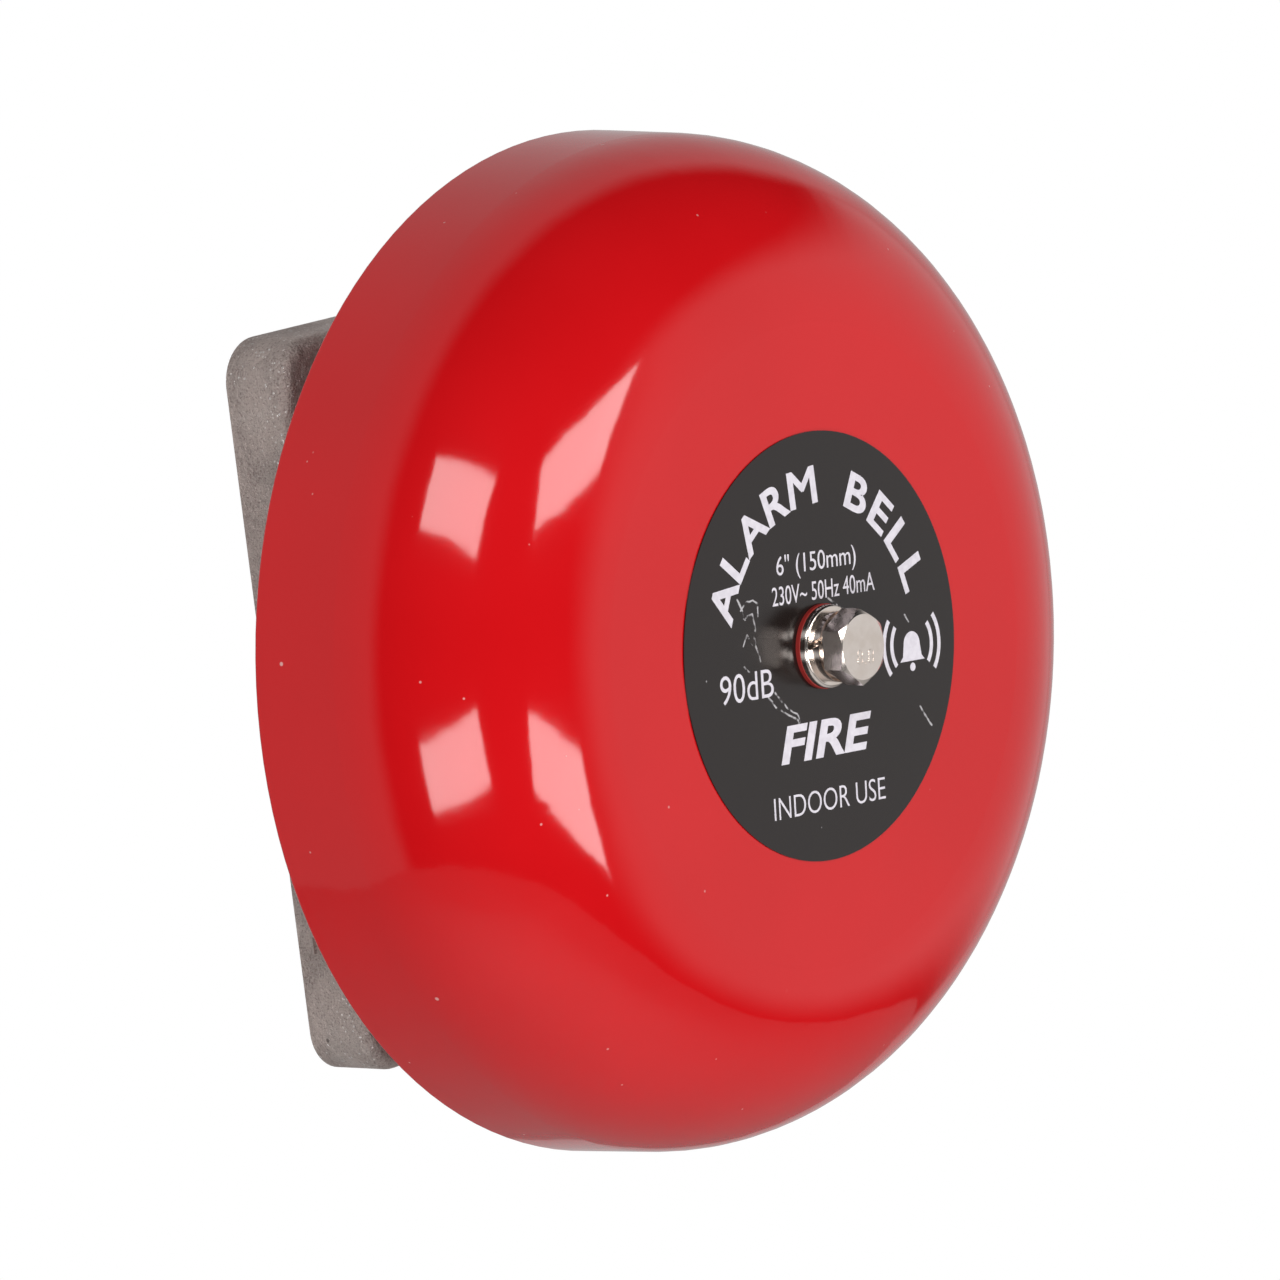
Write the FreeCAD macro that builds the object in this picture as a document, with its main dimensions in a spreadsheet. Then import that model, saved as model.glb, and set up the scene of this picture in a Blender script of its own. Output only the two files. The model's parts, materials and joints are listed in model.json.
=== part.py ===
import FreeCAD, Part
import Sketcher
import math
import os
import re

# A wall-mounted alarm bell: a drawn steel gong on a cast aluminium base that holds a solenoid striker.
# Row frame, millimetres: +X to the right and +Z up as seen from the front, and the gong towards -Y.
# The origin is the centre of the four wall screws, on the plane of the wall.
# "out" below is the distance from the wall, which is -Y, and "up" is +Z.

SIZES = {
    # gong
    "gong_radius": (75, "outer radius at the rim: a 150 mm gong"),
    "gong_height": (40.4, "rim to front face"),
    "gong_sheet": (1.5, "steel thickness"),
    "gong_draft": (3.5, "lean of the side wall, degrees"),
    "shoulder_radius": (27.8, "outer radius between side wall and front"),
    "rim_out": (18.5, "wall to rim"),
    "rim_rounding": (0.6, "rounding of the cut rim"),
    "gong_hole": (3.1, "radius of the bolt hole"),
    "label_radius": (30.8, "printed disc on the front"),
    "label_thickness": (0.2, "printed disc"),
    # centre bolt and what it clamps
    "fibre_radius": (6.1, "both fibre washers"),
    "front_fibre": (0.65, "thickness of the fibre washer in front of the gong"),
    "rear_fibre": (1.0, "thickness of the fibre washer behind the gong"),
    "washer_radius": (6.0, "flat washer"),
    "spring_washer_radius": (5.1, "spring washer"),
    "washer_hole": (3.2, "hole of both metal washers"),
    "flat_washer": (1.2, "thickness"),
    "spring_washer": (1.6, "thickness"),
    "spring_washer_gap": (0.9, "width of its split"),
    "bolt_flats": (9.6, "M6 hexagon across flats"),
    "bolt_head": (4, "height of the head, with its bearing face"),
    "bolt_face": (0.5, "thickness of the round bearing face under the hexagon"),
    "bolt_face_radius": (4.6, "round bearing face"),
    "bolt_chamfer": (4.7, "radius of the chamfer circle on the head"),
    "bolt_radius": (3, "M6 shank"),
    "bolt_length": (16, "under the head"),
    "bolt_turn": (25.5, "angle of a hexagon corner from +X, degrees"),
    "thread_play": (0.05, "radial room between a screw and its thread"),
    # castings
    "tray_half": (53.5, "half of the square tray"),
    "tray_depth": (11, "wall to the tray's front face"),
    "tray_corner": (6.5, "corner radius"),
    "tray_draft": (1.5, "lean of the tray's sides, degrees"),
    "tray_edge": (2, "rounding of the front edge"),
    "casting_wall": (2.5, "wall of the casting"),
    "housing_left": (-40, "solenoid housing, left side"),
    "housing_right": (46, "solenoid housing, right side"),
    "housing_half": (20, "half height of the solenoid housing"),
    "housing_out": (45, "front of the solenoid housing"),
    "housing_corner": (6, "corner radius"),
    "bay_half": (24, "half width of the terminal bay"),
    "bay_low": (-44, "lower side of the terminal bay"),
    "bay_out": (24, "front of the terminal bay"),
    "boss_radius": (8, "boss that carries the gong"),
    "boss_thread": (10.6, "depth of its thread"),
    "pip_radius": (4.5, "blind boss for a frame screw"),
    "pip_height": (5, "how far it stands on the housing"),
    "rib_thickness": (3, "ribs that stay the boss"),
    "rib_reach": (21, "how far a rib runs from the axis"),
    "mount_half": (42, "wall screw to centre line"),
    "mount_hole": (2.75, "radius of a wall screw hole"),
    "mount_boss": (6.5, "radius of a wall screw boss"),
    "lug_x": (31, "centre line to a lug that holds the housing on the tray"),
    "lug_up": (24, "centre line to a lug"),
    "lug_radius": (4.8, "lug"),
    "lug_height": (5, "lug, outwards from the tray's front face"),
    "gate_low": (-35, "casting gate stub, lower end"),
    "gate_high": (-24, "casting gate stub, upper end"),
    "gate_proud": (0.5, "how far the stub stands on the left side"),
    "gate_width": (2.6, "width of the stub, outwards from the wall"),
    # solenoid, all on one axis along X
    "axis_out": (26.5, "wall to the striker's axis"),
    "frame_left": (-23, "outer face of the left leg"),
    "frame_right": (19, "outer face of the right leg"),
    "frame_plate": (2, "steel thickness of the frame"),
    "frame_half": (14, "half height of the frame"),
    "frame_back": (12.5, "wall to the free end of the legs"),
    "frame_tab": (10, "how far the foot runs past each leg"),
    "tab_screw": (5, "leg to frame screw"),
    "bobbin_flange": (13.8, "flange radius"),
    "bobbin_cheek": (1.5, "flange thickness"),
    "bobbin_outer": (7.4, "tube outer radius"),
    "core_outer": (6.2, "brass guide tube, outer radius"),
    "core_inner": (5.2, "brass guide tube, inner radius"),
    "winding_radius": (12.5, "copper winding"),
    "tape_radius": (13, "outside of the tape"),
    "tape_margin": (2.2, "bare winding at each end of the tape"),
    # striker
    "plunger_radius": (5.15, "steel plunger"),
    "plunger_rear": (-34.3, "rear face at rest"),
    "plunger_front": (-1, "front face at rest"),
    "rod_radius": (2.5, "striker rod"),
    "rod_socket": (8, "rod inside the plunger"),
    "tip_radius": (4, "nylon tip"),
    "tip_length": (10.8, "nylon tip"),
    "tip_socket": (6, "rod inside the tip"),
    "tip_dome": (3.2, "rounding of the tip's nose"),
    "strike_gap": (4.3, "tip to gong at rest"),
    "bush_radius": (4.5, "guide bush in the housing wall"),
    "bush_flange": (6.5, "flange radius of the bush"),
    "bush_lip": (1.5, "thickness of the flange"),
    "bush_nose": (1.5, "how far the bush stands out of the wall"),
    "running_play": (0.05, "radial room of a sliding rod"),
    "clip_left": (23.3, "left face of the retaining clip"),
    "clip_radius": (4.2, "retaining clip"),
    "clip_groove": (1.9, "radius of the rod in its groove"),
    "clip_mouth": (1.7, "half width of the clip's mouth"),
    "clip_thickness": (0.8, "retaining clip"),
    "seat_radius": (5.2, "spring seat washer"),
    "seat_thickness": (0.8, "spring seat washer"),
    "coil_radius": (4.1, "centre line of the spring wire"),
    "wire_radius": (0.5, "spring wire"),
    "spring_turns": (7, "turns of the return spring"),
    "buffer_radius": (5.5, "rubber buffer behind the plunger"),
    "buffer_thickness": (3, "rubber buffer"),
    # frame screws, M4
    "screw_radius": (2, "M4 shank"),
    "screw_head": (3.6, "head radius"),
    "screw_head_height": (2.4, "head height"),
    "screw_length": (8, "under the head"),
    "slot_width": (1, "driver slot"),
    "slot_depth": (1.1, "driver slot"),
    "small_washer": (4.2, "washer radius"),
    "small_washer_thickness": (0.9, "washer thickness"),
    # terminals
    "block_half": (12.5, "half width of the terminal block"),
    "block_low": (-38, "lower side"),
    "block_high": (-22, "upper side"),
    "block_height": (12, "terminal block, outwards"),
    "pole_x": (7.5, "centre line to each terminal"),
    "channel": (6, "side of the square wire channel"),
    "channel_floor": (2, "plastic in front of the channel"),
    "well_radius": (2.9, "well of a terminal screw"),
    "clamp_side": (5.8, "side of a brass clamp"),
    "clamp_length": (11, "brass clamp"),
    "clamp_bore": (2, "radius of its wire hole"),
    "terminal_screw": (1.45, "M3 shank radius"),
    "terminal_head": (2.6, "head radius"),
    "terminal_head_height": (2, "head height"),
    "lead_radius": (0.8, "insulated lead"),
    "lead_top": (-8.9, "upper end of both leads"),
    "lead_upper_bend": (-15, "where they turn towards the terminals"),
    "lead_lower_bend": (-19.5, "where they turn down into the terminals"),
    "lead_past_screw": (4, "how far they reach below the terminal screw"),
    "lead_left": (-16, "where the live lead leaves the winding"),
    "lead_right": (12, "where the neutral lead leaves the winding"),
    # earth screw
    "earth_x": (33, "earth boss"),
    "earth_up": (-32, "earth boss"),
    "earth_boss": (4.4, "radius of the boss"),
    "earth_face": (5.5, "wall to the boss's face"),
    # cable grommet
    "notch_out": (4.3, "wall to the grommet's axis"),
    "notch_radius": (3.3, "half width of the notch"),
    "notch_facet": (1.37, "half width of the facets at its inner end"),
    "grommet_flange": (4.1, "flange radius"),
    "grommet_lip": (1.4, "flange thickness"),
    "cable_radius": (2.4, "hole for the cable"),
}

# Distances from the wall that several pieces share.
GONG_FRONT = "(rim_out + gong_height)"
GONG_INSIDE = "(rim_out + gong_height - gong_sheet)"
BOSS_FRONT = "(rim_out + gong_height - gong_sheet - rear_fibre)"
LABEL_FRONT = "(rim_out + gong_height + label_thickness)"
FIBRE_FRONT = "(rim_out + gong_height + label_thickness + front_fibre)"
FLAT_FRONT = "(rim_out + gong_height + label_thickness + front_fibre + flat_washer)"
HEAD_BACK = "(rim_out + gong_height + label_thickness + front_fibre + flat_washer + spring_washer)"
TRAY_INSIDE = "(tray_depth - casting_wall)"
HOUSING_INSIDE = "(housing_out - casting_wall)"
BAY_INSIDE = "(bay_out - casting_wall)"
# Places along X that several pieces share.
WALL_INSIDE = "(housing_right - casting_wall)"
COIL_LEFT = "(frame_left + frame_plate)"
COIL_RIGHT = "(frame_right - frame_plate)"
SEAT_LEFT = "(clip_left + clip_thickness)"
SEAT_RIGHT = "(clip_left + clip_thickness + seat_thickness)"
# The gong's inner wall at the striker's height, and the striker's nose at rest.
STRUCK_RADIUS = "(gong_radius - (axis_out - rim_out) * tan(gong_draft) - gong_sheet / cos(gong_draft))"
TIP_FRONT = "(" + STRUCK_RADIUS + " - strike_gap)"
TIP_REAR = "(" + TIP_FRONT + " - tip_length)"

Vector = FreeCAD.Vector
UPRIGHT = FreeCAD.Rotation()
FACING_OUT = FreeCAD.Rotation(Vector(1, 0, 0), 90)    # the piece's own z points away from the wall
FACING_WALL = FreeCAD.Rotation(Vector(1, 0, 0), -90)  # the piece's own z points to the wall
ALONG_X = FreeCAD.Rotation(Vector(0, 1, 0), 90)       # the piece's own z points right
HANGING = FreeCAD.Rotation(Vector(1, 0, 0), 180)      # the piece's own z points down

doc = FreeCAD.newDocument("AlarmBell")


def make_sheet():
    """The spreadsheet that holds every driving dimension."""
    sheet = doc.addObject("Spreadsheet::Sheet", "Sizes")
    for row, (alias, (number, meaning)) in enumerate(SIZES.items(), start=1):
        sheet.set("A%d" % row, alias)
        sheet.set("B%d" % row, str(number))
        sheet.set("C%d" % row, meaning)
        sheet.setAlias("B%d" % row, alias)
    doc.recompute()
    return sheet


sizes = make_sheet()


def bound(text):
    """The same expression with each size's name pointing into the sheet."""
    def in_sheet(word):
        return "Sizes." + word[0] if word[0] in SIZES else word[0]
    return re.sub(r"[a-z_]+", in_sheet, text)


def value(text):
    """What an expression on the sizes comes to."""
    number = sizes.evalExpression(bound(text))
    return float(getattr(number, "Value", number))


def place(piece, rotation, x="0", out="0", up="0"):
    """Turn a piece, and bind its origin to a place in the row frame."""
    piece.Placement = FreeCAD.Placement(Vector(value(x), -value(out), value(up)), rotation)
    piece.setExpression("Placement.Base.x", bound(x))
    piece.setExpression("Placement.Base.y", bound("-(" + out + ")"))
    piece.setExpression("Placement.Base.z", bound(up))
    return piece


# ---- sketches

def sketch_on(body, name, role, height="0"):
    """An empty sketch on one of the body's origin planes, moved along the plane's normal."""
    sketch = body.newObject("Sketcher::SketchObject", name)
    plane = [item for item in body.Origin.OriginFeatures if item.Role == role][0]
    sketch.AttachmentSupport = [(plane, "")]
    sketch.MapMode = "FlatFace"
    sketch.AttachmentOffset = FreeCAD.Placement(Vector(0, 0, value(height)), UPRIGHT)
    sketch.setExpression("AttachmentOffset.Base.z", bound(height))
    return sketch


def rule(sketch, kind, *where, size=None):
    """Add one constraint, bound to an expression where it has a size."""
    if size is None:
        sketch.addConstraint(Sketcher.Constraint(kind, *where))
        return
    number = value(size)
    if kind == "Angle":
        number = math.radians(number)
    index = sketch.addConstraint(Sketcher.Constraint(kind, *where, number))
    unit = " * 1deg" if kind == "Angle" else ""
    sketch.setExpression("Constraints[%d]" % index, "(" + bound(size) + ")" + unit)


def pin(sketch, geometry, point, across, along):
    """Fix one point of a sketch at the given distances from its origin."""
    if value(across) == 0:
        rule(sketch, "PointOnObject", geometry, point, -2)
    else:
        rule(sketch, "DistanceX", -1, 1, geometry, point, size=across)
    if value(along) == 0:
        rule(sketch, "PointOnObject", geometry, point, -1)
    else:
        rule(sketch, "DistanceY", -1, 1, geometry, point, size=along)


def corner_outline(body, name, role, corners, height="0"):
    """A closed outline of straight lines through the given corners."""
    sketch = sketch_on(body, name, role, height)
    spots = [Vector(value(across), value(along), 0) for across, along in corners]
    count = len(corners)
    for index in range(count):
        sketch.addGeometry(Part.LineSegment(spots[index], spots[(index + 1) % count]), False)
    for index in range(count):
        rule(sketch, "Coincident", index, 2, (index + 1) % count, 1)
    for index, (across, along) in enumerate(corners):
        pin(sketch, index, 1, across, along)
    return sketch


def rounded_outline(body, name, left, right, low, high, corner, height="0"):
    """A rectangle with rounded corners, seen from the front."""
    sketch = sketch_on(body, name, "XY_Plane", height)
    x_low, x_high, y_low, y_high = value(left), value(right), value(low), value(high)
    radius = value(corner)
    ends = [(x_low + radius, y_low, x_high - radius, y_low),
            (x_high, y_low + radius, x_high, y_high - radius),
            (x_high - radius, y_high, x_low + radius, y_high),
            (x_low, y_high - radius, x_low, y_low + radius)]
    for x_from, y_from, x_to, y_to in ends:
        sketch.addGeometry(Part.LineSegment(Vector(x_from, y_from, 0), Vector(x_to, y_to, 0)), False)
    centres = [(x_high - radius, y_low + radius), (x_high - radius, y_high - radius),
               (x_low + radius, y_high - radius), (x_low + radius, y_low + radius)]
    quarter = math.pi / 2
    for index, (x, y) in enumerate(centres):
        circle = Part.Circle(Vector(x, y, 0), Vector(0, 0, 1), radius)
        start = (index - 1) * quarter
        sketch.addGeometry(Part.ArcOfCircle(circle, start, start + quarter), False)
    for index in range(4):
        rule(sketch, "Tangent", index, 2, index + 4, 1)
        rule(sketch, "Tangent", index + 4, 2, (index + 1) % 4, 1)
        rule(sketch, ("Horizontal", "Vertical")[index % 2], index)
    for index in (5, 6, 7):
        rule(sketch, "Equal", 4, index)
    rule(sketch, "Radius", 4, size=corner)
    rule(sketch, "DistanceY", -1, 1, 0, 1, size=low)
    rule(sketch, "DistanceX", -1, 1, 1, 1, size=right)
    rule(sketch, "DistanceY", -1, 1, 2, 1, size=high)
    rule(sketch, "DistanceX", -1, 1, 3, 1, size=left)
    return sketch


def round_outline(body, name, role, centres, radius, height="0"):
    """One or more circles of one radius."""
    sketch = sketch_on(body, name, role, height)
    for index, (across, along) in enumerate(centres):
        middle = Vector(value(across), value(along), 0)
        sketch.addGeometry(Part.Circle(middle, Vector(0, 0, 1), value(radius)), False)
        pin(sketch, index, 3, across, along)
        rule(sketch, "Radius", index, size=radius)
    return sketch


# ---- features of a body

def new_body(name):
    body = doc.addObject("PartDesign::Body", name)
    body.Label = name
    return body


def pad(body, sketch, length, draft=None, reverse=False):
    """Add material from the sketch."""
    feature = body.newObject("PartDesign::Pad", sketch.Name + "_pad")
    feature.Profile = sketch
    feature.setExpression("Length", bound(length))
    feature.Reversed = reverse
    if draft:
        feature.setExpression("TaperAngle", bound("-" + draft))
    body.Tip = feature
    doc.recompute()
    return feature


def pocket(body, sketch, length, forward=True):
    """Cut along the sketch's normal, or against it, and make sure that something was cut."""
    before = body.Shape.Volume
    feature = body.newObject("PartDesign::Pocket", sketch.Name + "_pocket")
    feature.Profile = sketch
    feature.setExpression("Length", bound(length))
    feature.Reversed = forward
    body.Tip = feature
    doc.recompute()
    if body.Shape.Volume > before - 0.01:
        raise RuntimeError(feature.Name + " cuts nothing")
    return feature


def round_over(body, radius, wanted):
    """Round the edges that the test picks."""
    base = body.Tip
    names = ["Edge%d" % (index + 1) for index, edge in enumerate(base.Shape.Edges) if wanted(edge)]
    feature = body.newObject("PartDesign::Fillet", base.Name + "_rounding")
    feature.Base = (base, names)
    feature.setExpression("Radius", bound(radius))
    body.Tip = feature
    doc.recompute()
    return feature


def turned(name, corners, rotation, x="0", out="0", up="0"):
    """A turned piece: the corners of half its section, each a radius and a distance along its axis."""
    body = new_body(name)
    sketch = corner_outline(body, name + "_section", "XZ_Plane", corners)
    turn_round(body, sketch)
    return place(body, rotation, x, out, up)


def turn_round(body, sketch):
    """Revolve a section round the body's own z."""
    feature = body.newObject("PartDesign::Revolution", sketch.Name + "_turning")
    feature.Profile = sketch
    feature.ReferenceAxis = (sketch, ["V_Axis"])
    feature.Angle = 360
    body.Tip = feature
    doc.recompute()


def ring(name, inner, outer, thickness, rotation, x="0", out="0", up="0"):
    """A plain washer or tube."""
    corners = [(inner, "0"), (outer, "0"), (outer, thickness), (inner, thickness)]
    return turned(name, corners, rotation, x, out, up)


# ---- primitives and booleans

def box(name, left, right, near, far, low, high):
    """A block from left to right, from near to far out of the wall, and from low to high."""
    block = doc.addObject("Part::Box", name)
    block.setExpression("Length", bound("(%s) - (%s)" % (right, left)))
    block.setExpression("Width", bound("(%s) - (%s)" % (far, near)))
    block.setExpression("Height", bound("(%s) - (%s)" % (high, low)))
    return place(block, UPRIGHT, left, far, low)


def round_bar(name, radius, length, rotation, x="0", out="0", up="0"):
    bar = doc.addObject("Part::Cylinder", name)
    bar.setExpression("Radius", bound(radius))
    bar.setExpression("Height", bound(length))
    return place(bar, rotation, x, out, up)


def joined(name, pieces):
    whole = doc.addObject("Part::MultiFuse", name)
    whole.Shapes = pieces
    whole.Refine = True
    return whole


def cut(name, base, tool):
    rest = doc.addObject("Part::Cut", name)
    rest.Base = base
    rest.Tool = tool
    rest.Refine = True
    return rest


def group(name, pieces):
    """Separate solids of one kind in one node."""
    several = doc.addObject("Part::Compound", name)
    several.Links = pieces
    several.Label = name
    return several


# ---- the gong and what clamps it

def make_gong():
    """A dish of even sheet: a slightly conical side, a round shoulder and a flat front."""
    body = new_body("gong")
    sketch = sketch_on(body, "gong_section", "XZ_Plane")
    draft = math.radians(value("gong_draft"))
    quarter = math.pi / 2
    side_tilt = value("tan(gong_draft)")
    side_cos = value("cos(gong_draft)")
    side_sin = value("sin(gong_draft)")
    height, sheet, radius = value("gong_height"), value("gong_sheet"), value("shoulder_radius")
    centre_up = height - radius
    touch_up = centre_up + radius * side_sin
    centre_in = value("gong_radius") - touch_up * side_tilt - radius * side_cos
    centre = Vector(centre_in, centre_up, 0)
    spots = {}
    for skin, offset in (("outer", 0), ("inner", sheet)):
        reach = radius - offset
        spots[skin + "_touch"] = centre + Vector(reach * side_cos, reach * side_sin, 0)
        spots[skin + "_rim"] = Vector(value("gong_radius") - offset / side_cos, 0, 0)
        spots[skin + "_top"] = centre + Vector(0, reach, 0)
        spots[skin + "_hole"] = Vector(value("gong_hole"), height - offset, 0)

    def line(start, end):
        sketch.addGeometry(Part.LineSegment(spots[start], spots[end]), False)

    def shoulder(reach):
        circle = Part.Circle(centre, Vector(0, 0, 1), reach)
        sketch.addGeometry(Part.ArcOfCircle(circle, draft, quarter), False)

    line("outer_rim", "outer_touch")
    shoulder(radius)
    line("outer_top", "outer_hole")
    line("outer_hole", "inner_hole")
    line("inner_hole", "inner_top")
    shoulder(radius - sheet)
    line("inner_touch", "inner_rim")
    line("inner_rim", "outer_rim")
    for where in ((0, 2, 1, 1), (1, 2, 2, 1), (4, 2, 5, 2), (5, 1, 6, 1)):
        rule(sketch, "Tangent", *where)
    for where in ((2, 2, 3, 1), (3, 2, 4, 1), (6, 2, 7, 1), (7, 2, 0, 1), (1, 3, 5, 3)):
        rule(sketch, "Coincident", *where)
    rule(sketch, "Horizontal", 2)
    rule(sketch, "Vertical", 3)
    rule(sketch, "Horizontal", 4)
    rule(sketch, "Parallel", 0, 6)
    rule(sketch, "PointOnObject", 0, 1, -1)
    rule(sketch, "PointOnObject", 6, 2, -1)
    rule(sketch, "DistanceX", -1, 1, 0, 1, size="gong_radius")
    rule(sketch, "DistanceY", -1, 1, 2, 1, size="gong_height")
    rule(sketch, "DistanceX", -1, 1, 3, 1, size="gong_hole")
    rule(sketch, "DistanceY", 3, 2, 3, 1, size="gong_sheet")
    rule(sketch, "Radius", 1, size="shoulder_radius")
    rule(sketch, "Angle", -2, 0, size="gong_draft")
    turn_round(body, sketch)
    round_over(body, "rim_rounding", lambda edge: edge.BoundBox.ZMax < 0.01 and edge.BoundBox.XLength > 20)
    return place(body, FACING_OUT, out="rim_out")


def make_label():
    """The thin printed disc stuck to the front, which the bolt passes through."""
    return ring("label_disc", "gong_hole", "label_radius", "label_thickness", FACING_OUT, out=GONG_FRONT)


def make_fibre_washers():
    """One in front of the printed disc, and one between the gong and the boss."""
    front = ring("front_fibre_washer", "gong_hole", "fibre_radius", "front_fibre", FACING_OUT,
                 out=LABEL_FRONT)
    rear = ring("rear_fibre_washer", "gong_hole", "fibre_radius", "rear_fibre", FACING_OUT, out=BOSS_FRONT)
    return [front, rear]


def make_flat_washer():
    """A stamped washer, rounded at its front edge."""
    washer = ring("flat_washer", "washer_hole", "washer_radius", "flat_washer", FACING_OUT, out=FIBRE_FRONT)
    rim = value("washer_radius") * 2 - 0.1
    front = value("flat_washer") - 0.01
    round_over(washer, "flat_washer * 0.4",
               lambda edge: edge.BoundBox.XLength > rim and edge.BoundBox.ZMin > front)
    return washer


def make_spring_washer():
    """A split ring, cut through at a slant."""
    disc = round_bar("spring_washer_disc", "spring_washer_radius", "spring_washer", FACING_OUT,
                     out=FLAT_FRONT)
    bore = round_bar("spring_washer_bore", "washer_hole", "spring_washer", FACING_OUT, out=FLAT_FRONT)
    saw = doc.addObject("Part::Box", "spring_washer_saw")
    saw.setExpression("Length", bound("washer_radius + 1"))
    saw.setExpression("Width", bound("spring_washer_gap"))
    saw.setExpression("Height", bound("spring_washer * 3"))
    slant = FreeCAD.Rotation(Vector(1, 0, 0), 25)
    to_left = FreeCAD.Rotation(Vector(0, 0, 1), 172)
    place(saw, FACING_OUT.multiply(to_left).multiply(slant), out="(" + FLAT_FRONT + " - spring_washer)")
    washer = cut("spring_washer", disc, joined("spring_washer_opening", [bore, saw]))
    washer.Label = "spring_washer"
    return washer


def make_bolt():
    """M6 hexagon bolt: a chamfered head on a round bearing face."""
    hexagon = doc.addObject("Part::Prism", "bolt_hexagon")
    hexagon.Polygon = 6
    hexagon.setExpression("Circumradius", bound("bolt_flats / 2 / cos(30)"))
    hexagon.setExpression("Height", bound("bolt_head - bolt_face"))
    turn = FreeCAD.Rotation(Vector(0, 0, 1), value("bolt_turn"))
    place(hexagon, FACING_OUT.multiply(turn), out="(" + HEAD_BACK + " + bolt_face)")
    cone = doc.addObject("Part::Cone", "bolt_chamfer_cone")
    cone.setExpression("Radius2", bound("bolt_chamfer"))
    cone.setExpression("Radius1", bound("bolt_chamfer + bolt_head / tan(30)"))
    cone.setExpression("Height", bound("bolt_head"))
    place(cone, FACING_OUT, out=HEAD_BACK)
    head = doc.addObject("Part::MultiCommon", "bolt_head_solid")
    head.Shapes = [hexagon, cone]
    face = round_bar("bolt_bearing_face", "bolt_face_radius", "bolt_face", FACING_OUT, out=HEAD_BACK)
    shank = round_bar("bolt_shank", "bolt_radius", "bolt_length", FACING_WALL, out=HEAD_BACK)
    bolt = joined("centre_bolt", [head, face, shank])
    bolt.Label = "centre_bolt"
    return bolt


# ---- the castings

def make_base():
    """Two castings on one face: a shallow tray, and a housing with the terminal bay and the gong's boss."""
    body = new_body("castings")
    tray = rounded_outline(body, "tray_outline", "-tray_half", "tray_half", "-tray_half", "tray_half",
                           "tray_corner")
    pad(body, tray, "tray_depth", draft="tray_draft")
    front = value("tray_depth")
    round_over(body, "tray_edge", lambda edge: edge.BoundBox.ZMin > front - 0.01)
    housing = rounded_outline(body, "housing_outline", "housing_left", "housing_right", "-housing_half",
                              "housing_half", "housing_corner")
    pad(body, housing, "housing_out")
    bay = rounded_outline(body, "bay_outline", "-bay_half", "bay_half", "bay_low", "0", "housing_corner")
    pad(body, bay, "bay_out")
    tops = (value("housing_out"), value("bay_out"))

    def is_top(edge):
        return edge.BoundBox.ZLength < 0.01 and min(abs(edge.BoundBox.ZMin - top) for top in tops) < 0.01

    round_over(body, "casting_wall * 0.8", is_top)
    make_boss(body)
    make_lugs(body)
    hollow_out(body)
    make_inner_bosses(body)
    make_gate_stub(body)
    place(body, FACING_OUT)
    in_front = box("housing_space", "-tray_half", "tray_half", "tray_depth", BOSS_FRONT + " + 1",
                   "-tray_half", "tray_half")
    tray = cut("base_casting", body, in_front)
    tray.Label = "base_casting"
    housing_part = doc.addObject("Part::MultiCommon", "mechanism_housing")
    housing_part.Shapes = [body, in_front]
    housing_part.Label = "mechanism_housing"
    return [tray, housing_part]


def make_boss(body):
    """The boss that carries the gong, four ribs that stay it and the blind bosses of the frame screws."""
    half = "rib_thickness / 2"
    sideways = [("rib_reach", "-" + half), ("rib_reach", half), ("-rib_reach", half),
                ("-rib_reach", "-" + half)]
    across = corner_outline(body, "rib_across", "XY_Plane", sideways, height=HOUSING_INSIDE)
    pad(body, across, "casting_wall + 3")
    reach = "(housing_half - 4)"
    upright = [(half, "-" + reach), (half, reach), ("-" + half, reach), ("-" + half, "-" + reach)]
    along = corner_outline(body, "rib_upright", "XY_Plane", upright, height=HOUSING_INSIDE)
    pad(body, along, "casting_wall + 3")
    boss = round_outline(body, "boss_outline", "XY_Plane", [("0", "0")], "boss_radius",
                         height=HOUSING_INSIDE)
    pad(body, boss, BOSS_FRONT + " - " + HOUSING_INSIDE)
    pips = round_outline(body, "pip_outline", "XY_Plane", [(x, "0") for x in frame_screw_places()],
                         "pip_radius", height=HOUSING_INSIDE)
    pad(body, pips, "casting_wall + pip_height")
    pip = round_outline(body, "block_pip_outline", "XY_Plane", [("0", "(block_low + block_high) / 2")],
                        "pip_radius - 1", height=BAY_INSIDE)
    pad(body, pip, "casting_wall + pip_height - 1")
    thread = round_outline(body, "boss_thread_outline", "XY_Plane", [("0", "0")],
                           "bolt_radius + thread_play", height=BOSS_FRONT)
    pocket(body, thread, "boss_thread", forward=False)


def lug_places():
    """The four lugs that the housing is screwed to, as across and up."""
    return [(x + "lug_x", up + "lug_up") for x in ("-", "") for up in ("-", "")]


def make_lugs(body):
    """Four lugs beside the housing, which stand on the tray's front face."""
    lugs = round_outline(body, "lug_outline", "XY_Plane", lug_places(), "lug_radius", height=TRAY_INSIDE)
    pad(body, lugs, "casting_wall + lug_height")


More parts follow.
